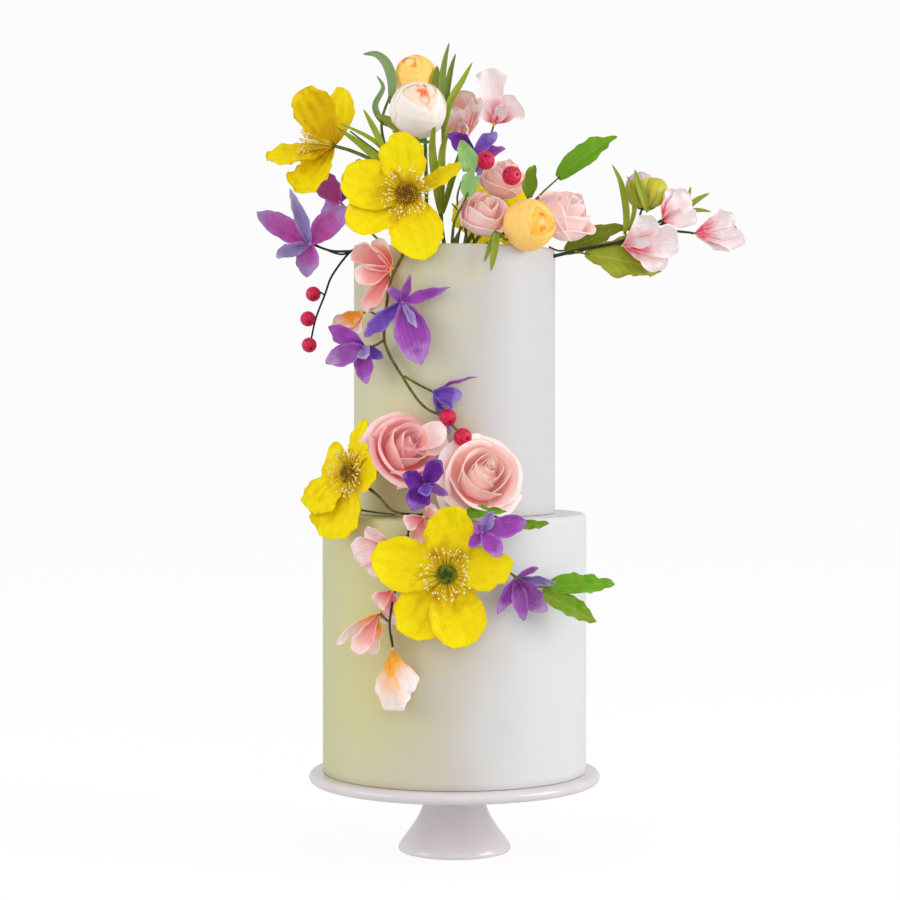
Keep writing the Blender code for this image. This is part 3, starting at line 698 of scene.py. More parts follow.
class SugarMesh:
    """Gathers the points and faces of one piece, in millimetres."""

    def __init__(self) -> None:
        """Start with nothing."""
        self.points: list[Vector] = []
        self.faces: list[tuple[int, ...]] = []
        self.painted: list[int] = []
        self.finishes: list[Finish] = []
        self.marks: dict[str, list[float]] = {name: [] for name in MARKS}
        self.current = 0

    def use(self, finish: Finish) -> None:
        """Give the faces that follow a finish.

        Args:
            finish: the finish.
        """
        if finish not in self.finishes:
            self.finishes.append(finish)
        self.current = self.finishes.index(finish)

    def point(self, place: Vector, along: float = 0.0, across: float = 0.0,
              inner: float = 1.0, tint: float = 0.0) -> int:
        """Add a point.

        Args:
            place: where it is.
            along: how far it is from the foot of its part, 0 to 1.
            across: how far it is from the middle line, 0 to 1.
            inner: 1 on the inner side and 0 outside.
            tint: how its part differs from others.

        Returns:
            The point's number.
        """
        self.points.append(place)
        for name, value in zip(MARKS, (along, across, inner, tint)):
            self.marks[name].append(value)
        return len(self.points) - 1

    def face(self, *corners: int) -> None:
        """Add a face in the finish that is in use."""
        self.faces.append(corners)
        self.painted.append(self.current)

    def sheet(self, rows: Sequence[Sequence[Vector]], thick: float, tint: float = 0.0,
              pointed: bool = True) -> None:
        """Add a thin closed body of a grid of points, thin at its edge.

        Args:
            rows: the points of its middle surface, from the foot to the rim.
            thick: its thickness inside.
            tint: how it differs from other sheets.
            pointed: whether the last row is one point.
        """
        last_row, last_lane = len(rows) - 1, len(rows[0]) - 1
        inside: dict[tuple[int, int], int] = {}
        outside: dict[tuple[int, int], int] = {}
        tip = self.point(rows[-1][0], 1.0, 1.0, 0.5, tint) if pointed else -1
        for i, row in enumerate(rows):
            along = i / last_row
            for j, spot in enumerate(row):
                across = abs(2 * j / last_lane - 1)
                if pointed and i == last_row:
                    inside[i, j] = outside[i, j] = tip
                elif i in (0, last_row) or j in (0, last_lane):
                    inside[i, j] = outside[i, j] = self.point(spot, along, across, 0.5, tint)
                else:
                    way = (row[j + 1] - row[j - 1]).cross(rows[i + 1][j] - rows[i - 1][j]).normalized()
                    inside[i, j] = self.point(spot + way * (thick / 2), along, across, 1.0, tint)
                    outside[i, j] = self.point(spot - way * (thick / 2), along, across, 0.0, tint)
        for i in range(last_row):
            for j in range(last_lane):
                corners = ((i, j), (i, j + 1), (i + 1, j + 1), (i + 1, j))
                if pointed and i + 1 == last_row:
                    corners = corners[:3]
                self.face(*[inside[corner] for corner in corners])
                self.face(*[outside[corner] for corner in reversed(corners)])

    def cup(self, steps: int, lanes: int, spot: Callable[[float, float], Vector], thick: float,
            tint: float) -> None:
        """Add a sheet with an open rim that wraps round an axis, its inner side towards it.

        Args:
            steps: how many steps it has from its foot to its rim.
            lanes: how many lanes it has across.
            spot: gives a point by its shares of the way up and across, 0 to 1.
            thick: its thickness inside.
            tint: how it differs from other sheets.
        """
        self.sheet([row[::-1] for row in grid(steps, lanes, spot)], thick, tint, pointed=False)

    def tube(self, route: Sequence[Vector], thick: tuple[float, float], sides: int = 8) -> None:
        """Add a round rod along a route.

        Args:
            route: points along its middle.
            thick: its radius at its start and at its end.
            sides: how many sides it has.
        """
        across = (route[1] - route[0]).orthogonal().normalized()
        last = len(route) - 1
        rings = []
        for i, spot in enumerate(route):
            way = (route[min(i + 1, last)] - route[max(i - 1, 0)]).normalized()
            across = (across - way * across.dot(way)).normalized()
            other = way.cross(across)
            radius = thick[0] + (thick[1] - thick[0]) * i / last
            turns = [2 * math.pi * k / sides for k in range(sides)]
            rings.append([self.point(spot + outwards((across, other), turn) * radius, i / last, 0.5)
                          for turn in turns])
        for here, there in zip(rings, rings[1:]):
            for k in range(sides):
                self.face(here[k], here[(k + 1) % sides], there[(k + 1) % sides], there[k])
        self.face(*reversed(rings[0]))
        self.face(*rings[-1])

    def ball(self, middle: Vector, radius: float, axis: Vector = UP, squash: float = 1.0, sides: int = 24,
             rings: int = 14, dimple: float = 0.0, folds: float = 0.0, tint: float = 0.0) -> None:
        """Add a ball.

        Args:
            middle: its middle.
            radius: its radius across the axis.
            axis: the way that its top looks.
            squash: its height per width.
            sides: how many sides it has.
            rings: how many rings it has.
            dimple: how deep its top is pressed in, per radius.
            folds: how high the folds are that wind round it, per radius.
            tint: how it differs from other balls.
        """
        ways = ways_across(axis)

        def spot(ring: int, side: int) -> Vector:
            """A point by its ring and its side.

            Args:
                ring: its ring, from the top.
                side: its side.

            Returns:
                The point.
            """
            fall = math.pi * ring / rings
            turn = 2 * math.pi * side / sides
            size = radius * (1 + folds * math.sin(2 * turn + 4 * math.cos(fall)))
            size *= 1 - dimple * math.exp(-(fall / 0.35) ** 2)
            away = outwards(ways, turn)
            return middle + (away * math.sin(fall) + axis * (math.cos(fall) * squash)) * size

        top = self.point(spot(0, 0), 1.0, tint=tint)
        foot = self.point(spot(rings, 0), 0.0, tint=tint)
        hoops = [[self.point(spot(ring, side), 1 - ring / rings, side / sides, tint=tint)
                  for side in range(sides)] for ring in range(1, rings)]
        for k in range(sides):
            after = (k + 1) % sides
            self.face(top, hoops[0][k], hoops[0][after])
            self.face(foot, hoops[-1][after], hoops[-1][k])
            for here, there in zip(hoops, hoops[1:]):
                self.face(here[k], there[k], there[after], here[after])

    def turned(self, profile: Profile, sides: int) -> None:
        """Turn a profile about the upright axis.

        Args:
            profile: its radii and heights, from the axis below to the axis above.
            sides: how many sides it has.
        """
        rings = []
        for radius, height in profile:
            count = sides if radius > 0 else 1
            rings.append([self.point(Vector((radius * math.sin(2 * math.pi * k / sides),
                                             -radius * math.cos(2 * math.pi * k / sides), height)))
                          for k in range(count)])
        for here, there in zip(rings, rings[1:]):
            for k in range(sides):
                after = (k + 1) % sides
                corners = [here[k % len(here)], here[after % len(here)],
                           there[after % len(there)], there[k % len(there)]]
                self.face(*dict.fromkeys(corners))

    def make(self, name: str, sharp: float = 60.0) -> bpy.types.Object:
        """Make an object of what was gathered.

        Args:
            name: the object's name.
            sharp: edges that turn by more than this, in degrees, stay sharp.

        Returns:
            The object, in metres.
        """
        mesh = bpy.data.meshes.new(name)
        mesh.from_pydata([spot * MM for spot in self.points], [], self.faces)
        for finish in self.finishes:
            mesh.materials.append(finish.material())
        mesh.polygons.foreach_set("material_index", self.painted)
        for mark, values in self.marks.items():
            mesh.attributes.new(mark, "FLOAT", "POINT").data.foreach_set("value", values)
        mesh.shade_smooth()
        mesh.set_sharp_from_angle(angle=math.radians(sharp))
        made = bpy.data.objects.new(name, mesh)
        bpy.context.scene.collection.objects.link(made)
        return made


def smooth_route(points: Sequence[Place], parts: int = 6) -> list[Vector]:
    """Points on a smooth curve through the given ones.

    Args:
        points: where the curve goes.
        parts: how many points it has from each to the next.

    Returns:
        The curve's points.
    """
    spots = [Vector(point) for point in points]
    ends = [2 * spots[0] - spots[1]] + spots + [2 * spots[-1] - spots[-2]]
    route = []
    for before, here, there, after in zip(ends, ends[1:], ends[2:], ends[3:]):
        for step in range(parts):
            part = step / parts
            a = -0.5 * before + 1.5 * here - 1.5 * there + 0.5 * after
            b = before - 2.5 * here + 2 * there - 0.5 * after
            route.append(((a * part + b) * part + 0.5 * (there - before)) * part + here)
    return route + [spots[-1]]


class Petal(NamedTuple):
    """A petal's tip from the heart of its flower, its width, and where its inner side looks."""
    dx: float
    dy: float
    dz: float
    width: float
    faces: Optional[Aim] = None        # azimuth and elevation, if not the flower's own
    finish: Optional[Finish] = None    # if not the flower's own
    form: Optional["Form"] = None      # if not the flower's own


@dataclass(frozen=True)
class Form:
    """The shape of one kind of petal or leaf."""
    widest: float = 0.58        # where along its length it is widest
    blunt: float = 0.55         # 0.5 for a round end, 1 for a pointed one
    bow: float = -0.06          # bend of the middle towards its face, per length
    curl: float = 24.0          # degrees from the middle to an edge
    ruffle: float = 0.0         # height of the waves at the edge, per half width
    waves: float = 1.5
    fold: float = 0.0           # how far the edges stand up from the midrib, per half width
    crease: float = 0.35        # depth of the creases that run along it
    creases: float = 3.5
    crinkle: float = 0.5        # height of small bumps
    ragged: float = 1.2         # how far the outline wanders
    foot: float = 0.05          # share of the outline that the foot leaves out
    thick: float = 0.8
    steps: int = 22
    lanes: int = 16

    def rows(self, place: Vector, petal: Petal, aim: Vector, seed: float) -> list[list[Vector]]:
        """The points of a petal's middle surface.

        Args:
            place: where its foot is.
            petal: its tip and its width.
            aim: where its inner side looks.
            seed: a number that gives it its own creases.

        Returns:
            Rows of points from its foot to its tip.
        """
        reach = Vector(petal[:3])
        length, along = reach.length, reach.normalized()
        looks = direction(*petal.faces) if petal.faces else aim
        face = (looks - along * looks.dot(along)).normalized()
        side = along.cross(face)
        peak = math.log(0.5) / math.log(self.widest)
        bend = math.radians(self.curl)

        def spot(s: float, share: float) -> Vector:
            """A point of the petal.

            Args:
                s: its share of the way to the tip.
                share: its share of the way across.

            Returns:
                The point.
            """
            t = 2 * share - 1
            drawn = self.foot + (1 - self.foot) * s
            half = 0.5 * petal.width * max(math.sin(math.pi * drawn ** peak), 0.0) ** self.blunt
            arch = self.bow * length * math.sin(math.pi * s)
            ripple = math.sin(2 * math.pi * self.waves * s + 2.0 * t + seed)
            wave = self.ruffle * half * t * t * s * ripple
            lift = half * ((1 - math.cos(bend * t)) / bend + self.fold * math.sqrt(t * t + 0.01))
            groove = self.crease * math.sin(self.creases * math.pi * t + seed) * math.sin(math.pi * s)
            flat = along * (length * s) + side * (half * math.sin(bend * t) / bend)
            rim = max(t * t, s ** 3) * math.sin(math.pi * min(s * 1.4, 1.0) * 0.5)
            lump = noise.noise(flat * 0.22 + Vector((seed * 7, 0, 0))) * self.crinkle
            stray = noise.noise_vector(flat * 0.16 + Vector((0, seed * 5, 0))) * (self.ragged * rim)
            return place + flat + face * (arch + lift + wave + groove + lump) + stray

        return grid(self.steps, self.lanes, spot)


BROAD = Form(widest=0.66, blunt=0.44, crease=0.7, creases=4.0, crinkle=1.2, ragged=4.0, lanes=24)
KITE = Form(blunt=0.66, crease=0.5, creases=3.0, crinkle=0.9, ragged=2.4)
ROUND = Form(widest=0.60, blunt=0.46, crease=0.55, creases=3.0, crinkle=0.9, ragged=2.2)
POINTED = Form(widest=0.55, blunt=0.74, bow=-0.08, curl=44, ruffle=0.14, fold=0.18, crease=0.4, creases=2.0,
               crinkle=1.0, ragged=1.6, thick=0.7)
NARROW = replace(POINTED, widest=0.45, blunt=1.0, curl=60, fold=0.3)
RUFFLED = Form(widest=0.76, blunt=0.42, bow=-0.08, curl=48, ruffle=0.34, waves=1.7, crease=0.2, creases=2.5,
               crinkle=0.7, ragged=2.4, thick=0.6, lanes=22)
ROLLED = Form(widest=0.72, blunt=0.40, bow=-0.14, curl=58, ruffle=0.22, waves=1.2, crease=0.1, creases=1.5,
              crinkle=0.6, thick=0.7, lanes=22)
HOODED = replace(RUFFLED, widest=0.66, curl=95, bow=-0.16, ruffle=0.16)
BELL = replace(RUFFLED, widest=0.80, blunt=0.5, curl=-60, bow=0.12, foot=0.02)
ANGULAR = Form(widest=0.50, blunt=1.0, bow=0.06, curl=14, ruffle=0.34, waves=2.0, fold=0.20, crease=0.2,
               crinkle=1.2, ragged=4.5, thick=0.6, steps=26, lanes=12)
LEAFY = Form(widest=0.42, blunt=0.85, bow=0.05, curl=14, ruffle=0.30, waves=2.0, fold=0.30, crease=0.2,
             crinkle=0.9, ragged=2.4, thick=0.6, steps=26, lanes=12)
BRACT = replace(LEAFY, ruffle=0.1, crinkle=0.5, ragged=0.8)
WAVY_SEPAL = replace(LEAFY, bow=-0.25, thick=0.7, steps=12, lanes=8)
SMOOTH_SEPAL = replace(WAVY_SEPAL, ruffle=0.05)
BLADE = Form(widest=0.35, bow=0.05, curl=30, fold=0.15, crease=0.1, crinkle=0.3, ragged=0.3, steps=20,
             lanes=6)


@dataclass
class SugarPiece:
    """A piece that stands for one node of the CAD model."""
    node: str
    slot: Slot

    def shape(self, mesh: SugarMesh) -> None:
        """Add the piece's points and faces.

        Args:
            mesh: what it is added to.
        """
        raise NotImplementedError

    def build(self) -> bpy.types.Object:
        """Make the piece in place of its node.

        Returns:
            The object.
        """
        mesh = SugarMesh()
        self.shape(mesh)
        made = mesh.make(f"{self.node}_dressed")
        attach(made, "root")
        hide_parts(self.node)
        LOG.info("%s: %d faces", made.name, len(mesh.faces))
        return made


@dataclass
class Stand(SugarPiece):
    """The plate, stem and foot, which are one piece of glazed ceramic."""
    node: str = "stand"
    slot: Slot = Slot.CERAMIC
    plate_radius: float = 114.0
    plate_top: float = 63.5
    rim_height: float = 8.6
    plate_under: float = 51.5
    foot_radius: float = 44.3
    foot_flat: float = 41.0
    foot_edge: float = 3.0      # height of the foot's upright edge
    stem_radius: float = 23.0
    shoulder: float = 1.3       # where the foot flares most
    sweep: float = 2.6          # how fast it flares
    flare_steps: int = 28
    rim_parts: int = 12
    sides: int = 192

    def shape(self, mesh: SugarMesh) -> None:
        """A flared foot below a round plate with a soft rim.

        Args:
            mesh: what it is added to.
        """
        mesh.use(Glaze())
        # The flat foot and its soft lower edge
        profile = [(0.0, 0.0), (self.foot_flat - 2, 0.0), (self.foot_flat, 0.2),
                   (self.foot_radius - 0.9, 0.9), (self.foot_radius - 0.2, 1.9)]
        rise = self.plate_under - self.foot_edge
        for step in range(self.flare_steps + 1):
            part = step / self.flare_steps
            drawn = (1 - part ** self.shoulder) ** self.sweep
            profile.append((self.stem_radius + (self.foot_radius - self.stem_radius) * drawn,
                            self.foot_edge + rise * part))
        # The hollow where the stem meets the plate
        profile += [(self.stem_radius + 0.8, self.plate_under + 1.4),
                    (self.stem_radius + 3, self.plate_under + 2.6)]
        profile += rounded_edge(self.plate_radius, self.plate_top, self.rim_height / 2, -90, self.rim_parts)
        mesh.turned([*profile, (0.0, self.plate_top)], self.sides)


@dataclass
class Tier(SugarPiece):
    """One tall round tier with a softly rounded top edge."""
    radius: float
    bottom: float
    top: float
    finish: Icing
    edge: float = 3.5           # radius of the rounded edge on top
    bevel: float = 0.6          # width of the edge at the foot
    bands: int = 40
    edge_parts: int = 8
    sides: int = 256

    def shape(self, mesh: SugarMesh) -> None:
        """Upright sides that end in a rounded edge above and a tight one below.

        Args:
            mesh: what it is added to.
        """
        mesh.use(self.finish)
        side_foot = self.bottom + self.bevel
        side_height = self.top - self.edge - self.bottom - self.bevel
        profile = [(0.0, self.bottom), (self.radius - self.bevel, self.bottom), (self.radius, side_foot)]
        profile += [(self.radius, side_foot + side_height * step / self.bands)
                    for step in range(1, self.bands)]
        profile += rounded_edge(self.radius, self.top, self.edge, 0, self.edge_parts)
        mesh.turned([*profile, (self.radius * 0.6, self.top), (0.0, self.top)], self.sides)


CAKE_AXIS = Vector((-8, -18, 0))        # where the stems of the top flowers meet
LOWER_RADIUS, UPPER_RADIUS = 103.3, 78.7
LOWER_TOP, UPPER_TOP = 265.5, 471.5
ROOT_DEPTH = 4.0                        # how deep a stem goes into the icing


def stem_root(heart: Vector) -> Vector:
    """Find where the stem of a flower goes into the cake.

    Args:
        heart: the flower's heart.

    Returns:
        The place, a little inside the icing.
    """
    # A flower of the top cluster stands above the upper tier and not far outside it
    if heart.z > UPPER_TOP - 10 and Vector(heart.xy).length < UPPER_RADIUS + 60:
        return Vector((heart.x * 0.45 + CAKE_AXIS.x, heart.y * 0.3 + CAKE_AXIS.y, UPPER_TOP - ROOT_DEPTH))
    radius = (LOWER_RADIUS if heart.z < LOWER_TOP + 5 else UPPER_RADIUS) - ROOT_DEPTH
    around = Vector((heart.x, heart.y, 0)).normalized()
    return Vector((around.x * radius, around.y * radius, heart.z + 3))


@dataclass(kw_only=True)
class Bloom(SugarPiece):
    """A flower of separate petals round its heart."""
    heart: Place
    aim: Aim
    petals: tuple[Petal, ...]
    finish: Finish = PURPLE
    form: Form = POINTED
    core: float = 4.0
    stem: Optional[tuple[Place, ...]] = None
    stem_finish: Finish = GREEN_STEM

    def add_petals(self, mesh: SugarMesh) -> None:
        """Add each petal in its finish.

        Args:
            mesh: what it is added to.
        """
        heart, aim = Vector(self.heart), direction(*self.aim)
        for k, petal in enumerate(self.petals):
            mesh.use(petal.finish or self.finish)
            seed = 1.7 * k + self.heart[0] * 0.13
            form = petal.form or self.form
            mesh.sheet(form.rows(heart, petal, aim, seed), form.thick, math.sin(seed * 2.3))

    def add_stem(self, mesh: SugarMesh, thick: float) -> None:
        """Add the stem from the heart into the cake.

        Args:
            mesh: what it is added to.
            thick: its radius at the flower.
        """
        mesh.use(self.stem_finish)
        heart, back = Vector(self.heart), -direction(*self.aim)
        if self.stem:
            route = smooth_route([heart + back * self.core * 0.5, *self.stem])
        else:
            root = stem_root(heart)
            bend = heart + back * (0.4 * (root - heart).length) + (root - heart) * 0.25
            route = smooth_route([heart + back * self.core * 0.3, bend, root], parts=8)
        mesh.tube(route, (thick, thick * 1.25))


@dataclass(kw_only=True)
class Buttercup(Bloom):
    """A wide open yellow flower with a seed head and a ring of stamens."""
    slot: Slot = Slot.YELLOW
    finish: Finish = YELLOW
    form: Form = ROUND
    core: float = 8.5
    seeds: Finish = SEED
    seed_count: int = 86
    seed_size: float = 0.95
    stamens: int = 84
    crown: float = 20.0          # how far the stamens reach from the middle
    brush: float = 0.0           # how much further they reach forwards

    def shape(self, mesh: SugarMesh) -> None:
        """Petals, seed head, stamens and stem.

        Args:
            mesh: what it is added to.
        """
        self.add_petals(mesh)
        self.add_seed_head(mesh)
        self.add_stamens(mesh)
        self.add_stem(mesh, thick=1.3)

    def add_seed_head(self, mesh: SugarMesh) -> None:
        """A dome covered in small seeds that wind round it.

        Args:
            mesh: what it is added to.
        """
        heart, aim = Vector(self.heart), direction(*self.aim)
        ways = ways_across(aim)
        mesh.use(self.seeds)
        mesh.ball(heart, self.core * 0.86, aim, squash=0.62, sides=20, rings=10, dimple=0.15, tint=0.8)
        for k in range(self.seed_count):
            out = math.sqrt((k + 0.5) / self.seed_count)
            away = outwards(ways, k * GOLDEN_TURN)
            rise = math.sqrt(max(1 - (0.93 * out) ** 2, 0)) * 0.66
            lift = self.core * rise - self.core * 0.12 * (1 - out)
            spot = heart + away * (self.core * 0.92 * out) + aim * lift
            tint = 1.4 - 1.9 * out + 0.4 * math.sin(k)
            looks = (aim + away * out).normalized()
            mesh.ball(spot, self.seed_size, looks, squash=1.3, sides=6, rings=4, tint=tint)

    def add_stamens(self, mesh: SugarMesh) -> None:
        """Fine filaments that spread from under the seed head, each with its anther.

        Args:
            mesh: what it is added to.
        """
        heart, aim = Vector(self.heart), direction(*self.aim)
        ways = ways_across(aim)
        pick = random.Random(self.node)
        for k in range(self.stamens):
            away = outwards(ways, k * GOLDEN_TURN + pick.uniform(-0.2, 0.2))
            out = self.crown * pick.uniform(0.62, 1.0)
            rise = self.core * pick.uniform(0.35, 0.95) + self.brush * pick.uniform(0.6, 1.0)
            start = heart + away * (self.core * 0.8) + aim * 0.5
            bend = heart + away * (out * 0.75) + aim * (rise * 0.8)
            end = heart + away * out + aim * rise
            mesh.use(FILAMENT)
            mesh.tube(smooth_route([start, bend, end], parts=3), (0.34, 0.26), sides=4)
            mesh.use(ANTHER)
            mesh.ball(end, pick.uniform(0.6, 0.85), away, squash=1.25, sides=6, rings=4)


@dataclass(kw_only=True)
class Violet(Bloom):
    """A spurred purple flower with pointed petals."""
    slot: Slot = Slot.PURPLE

    def shape(self, mesh: SugarMesh) -> None:
        """Petals round a small throat, and the stem.

        Args:
            mesh: what it is added to.
        """
        self.add_petals(mesh)
        mesh.use(self.finish)
        heart, aim = Vector(self.heart), direction(*self.aim)
        mesh.ball(heart, self.core * 0.45, aim, squash=0.9, sides=14, rings=8, dimple=0.4)
        self.add_stem(mesh, thick=0.8)


@dataclass(kw_only=True)
class SweetPea(Bloom):
    """A ruffled pink flower with a waxy calyx."""
    slot: Slot = Slot.PINK
    finish: Finish = PINK
    form: Form = RUFFLED

    def shape(self, mesh: SugarMesh) -> None:
        """Petals, calyx and stem.

        Args:
            mesh: what it is added to.
        """
        self.add_petals(mesh)
        mesh.use(PEACH)
        back = -direction(*self.aim)
        mesh.ball(Vector(self.heart) + back, self.core * 0.34, back, squash=1.8, sides=14, rings=10)
        self.add_stem(mesh, thick=0.8)


class Whorl(NamedTuple):
    """One ring of petals wound round a rose's bud. Sizes are per radius of the flower."""
    petals: int
    radius: float              # of the rim
    height: float              # of the rim above the middle
    belly: float               # how far the petals bulge low down
    shoulder: float            # and how far near the rim
    roll: float                # how far the rim turns out
    span: float                # degrees that one petal wraps
    cup: float = 0.42          # how far below the rim the shoulder lies, per height
    finish: Optional[Finish] = None


RING_TURN = 137.5              # degrees from one ring of petals to the next
OPEN_ROSE = (
    Whorl(2, 0.15, 0.66, 0.26, 0.20, 0.02, 220), Whorl(3, 0.28, 0.66, 0.44, 0.38, 0.06, 180),
    Whorl(3, 0.48, 0.58, 0.66, 0.62, 0.11, 165), Whorl(3, 0.76, 0.38, 0.84, 0.88, 0.18, 160),
    Whorl(3, 1.00, 0.04, 0.80, 1.00, 0.20, 150),
)
HALF_OPEN = (
    Whorl(2, 0.15, 0.84, 0.30, 0.24, 0.02, 220), Whorl(3, 0.30, 0.82, 0.62, 0.46, 0.06, 175),
    Whorl(3, 0.54, 0.68, 0.90, 0.78, 0.14, 165), Whorl(3, 0.86, 0.40, 0.98, 1.00, 0.20, 150),
)
PALE_EDGED = (*OPEN_ROSE[:3], OPEN_ROSE[3]._replace(finish=PALE_ROSE),
              OPEN_ROSE[4]._replace(finish=FADED_ROSE))
PALE_OUTSIDE = (*HALF_OPEN[:2], *[whorl._replace(finish=PALE_ROSE) for whorl in HALF_OPEN[2:]])


class Shell(NamedTuple):
    """One ring of petals closed over a bud. Sizes are per radius of the bud."""
    petals: int
    size: float                # how far the petals are from the middle
    opening: float             # degrees from the aim to their rims
    span: float                # degrees that one petal wraps
    finish: Optional[Finish] = None


@dataclass
class Rose(SugarPiece):
    """A rose or a globe flower: rings of petals wound round a scroll."""
    heart: Place
    aim: Aim
    radius: float
    whorls: tuple[Whorl, ...] = OPEN_ROSE
    finish: Finish = ROSE
    scroll_finish: Optional[Finish] = None
    turn: float = 0.0            # degrees that the whole flower is turned about its aim
    depth: float = 0.62          # of the flower below its middle, per radius
    drop: float = 0.40           # how much shorter a petal is at its sides
    filler: float = 0.38         # radius of the bud inside, per radius
    shift: tuple[float, float] = (0.0, 0.0)    # how far the inner rings lie to one side
    sepals: int = 0
    loose: tuple[Petal, ...] = ()
    bracts: tuple["Leaf", ...] = ()

    def shape(self, mesh: SugarMesh) -> None:
        """The scroll at the heart, then each ring of petals, and a stem.

        Args:
            mesh: what it is added to.
        """
        self.set_frame()
        mesh.use(self.scroll_finish or self.finish)
        mesh.ball(self.heart_at, self.radius * self.filler, self.axis)
        self.set_aside(0.1)
        self.add_scroll(mesh)
        for number, whorl in enumerate(self.whorls):
            for k in range(whorl.petals):
                mesh.use(whorl.finish or self.finish)
                self.set_aside(whorl.radius)
                start = self.turn + RING_TURN * number + 360 * k / whorl.petals
                self.add_petal(mesh, whorl, start, 3.1 * number + 1.3 * k)
        mesh.use(FADED_ROSE)
        for k, petal in enumerate(self.loose):
            mesh.sheet(ROLLED.rows(self.heart_at, petal, self.axis, 2.1 * k), ROLLED.thick)
        self.add_stem(mesh)
        self.add_sepals(mesh)

    def set_frame(self) -> None:
        """Work out the middle, the aim and the two ways across it."""
        self.heart_at, self.axis = Vector(self.heart), direction(*self.aim)
        self.first = Vector((-self.axis.y, self.axis.x, 0)).normalized()
        self.second = self.axis.cross(self.first)
        self.aside = Vector((0, 0, 0))

    def add_stem(self, mesh: SugarMesh) -> None:
        """The stem from below the flower into the cake.

        Args:
            mesh: what it is added to.
        """
        mesh.use(GREEN_STEM)
        root = stem_root(self.heart_at)
        base = self.heart_at - self.axis * (self.radius * self.depth)
        mesh.tube(smooth_route([base, base - self.axis * 4 + (root - base) * 0.4, root]), (1.3, 1.6))

    def set_aside(self, radius: float) -> None:
        """Move the middle of a ring to one side.

        Args:
            radius: the ring's radius, per radius of the flower.
        """
        self.aside = (self.first * self.shift[0] + self.second * self.shift[1]) * (1 - radius)

    def spot(self, turn: float, out: float, rise: float) -> Vector:
        """A point of the flower, in sizes per radius.

        Args:
            turn: its turn about the aim, in radians.
            out: its distance from the aim.
            rise: its height along the aim.

        Returns:
            The point.
        """
        away = outwards((self.first, self.second), turn)
        aside = self.aside * eased(rise, -self.depth, 0.6)
        return self.heart_at + (away * out + self.axis * rise + aside) * self.radius

    def add_scroll(self, mesh: SugarMesh) -> None:
        """The rolled petal in the middle.

        Args:
            mesh: what it is added to.
        """
        mesh.use(self.scroll_finish or self.finish)
        top, foot, windings = self.whorls[0].height - 0.02, 0.3, 2.1

        def spot(s: float, share: float) -> Vector:
            """A point of the scroll.

            Args:
                s: its share of the way up.
                share: its share of the way from the inner end to the outer one.

            Returns:
                The point.
            """
            turn = math.radians(self.turn) + share * 2 * math.pi * windings
            out = (0.025 + 0.10 * share) * (0.8 + 0.35 * s) + 0.02 * eased(s, 0.8, 1.0)
            return self.spot(turn, out, -foot + (top + foot - 0.05 * share) * s)

        mesh.cup(steps=8, lanes=44, spot=spot, thick=0.5, tint=0.4)

    def add_petal(self, mesh: SugarMesh, whorl: Whorl, start: float, seed: float) -> None:
        """One petal of a ring, bulging out and rolled at its rim.

        Args:
            mesh: what it is added to.
            whorl: its ring.
            start: the turn of its middle, in degrees.
            seed: a number that gives it its own waves.
        """
        base_out, base_rise = 0.06, -self.depth
        wide = 1 + 0.05 * math.sin(seed * 3)
        belly, rim = whorl.belly * wide, whorl.radius * wide
        low = base_rise + 0.06
        high = whorl.height - whorl.cup * (whorl.height - low)

        def spot(s: float, share: float) -> Vector:
            """A point of the petal.

            Args:
                s: its share of the way up.
                share: its share of the way across.

            Returns:
                The point.
            """
            t = 2 * share - 1
            grown = 1 - self.drop * abs(t) ** 2.6 + 0.03 * math.exp(-(t / 0.16) ** 2)
            grown += 0.05 * noise.noise(Vector((t * 2.2, seed * 3, 0)))
            # A curve from the foot over the belly and the shoulder to the rim
            b0, b1 = (1 - s) ** 3, 3 * s * (1 - s) ** 2
            b2, b3 = 3 * s * s * (1 - s), s ** 3
            out = b0 * base_out + b1 * belly + b2 * whorl.shoulder * wide + b3 * rim
            rise = b0 * base_rise + b1 * low + b2 * high + b3 * whorl.height
            out = base_out + (out - base_out) * (0.9 + 0.1 * grown)
            rise = base_rise + (rise - base_rise) * grown
            rolled = eased(s, 0.72, 1.0)
            roll = whorl.roll * (1 + 0.5 * noise.noise(Vector((t * 1.7, seed, 3))))
            out += roll * rolled
            rise -= roll * 0.7 * rolled * rolled
            out += 0.035 * t + 0.02 * noise.noise(Vector((t * 3, s * 3, seed)))
            out += 0.6 * whorl.roll * abs(t) ** 5 * eased(s, 0.4, 0.9)
            narrowed = 0.55 + 0.45 * eased(s, 0.0, 0.55)
            return self.spot(math.radians(start + 0.5 * whorl.span * t * narrowed), out, rise)

        mesh.cup(steps=20, lanes=22, spot=spot, thick=0.7, tint=math.sin(seed))

    def add_sepals(self, mesh: SugarMesh) -> None:
        """Short green sepals that hold the flower from below.

        Args:
            mesh: what it is added to.
        """
        mesh.use(SEPAL)
        for k in range(self.sepals):
            turn = 2 * math.pi * k / self.sepals + 0.5
            foot = self.spot(turn, 0.12, -self.depth - 0.04)
            tip = self.spot(turn, 0.98, -self.depth + 0.34)
            petal = Petal(*(tip - foot), self.radius * 0.4)
            mesh.sheet(SMOOTH_SEPAL.rows(foot, petal, self.axis, k), SMOOTH_SEPAL.thick, tint=0.3)
        for k, bract in enumerate(self.bracts):
            bract.add_to(mesh, k)


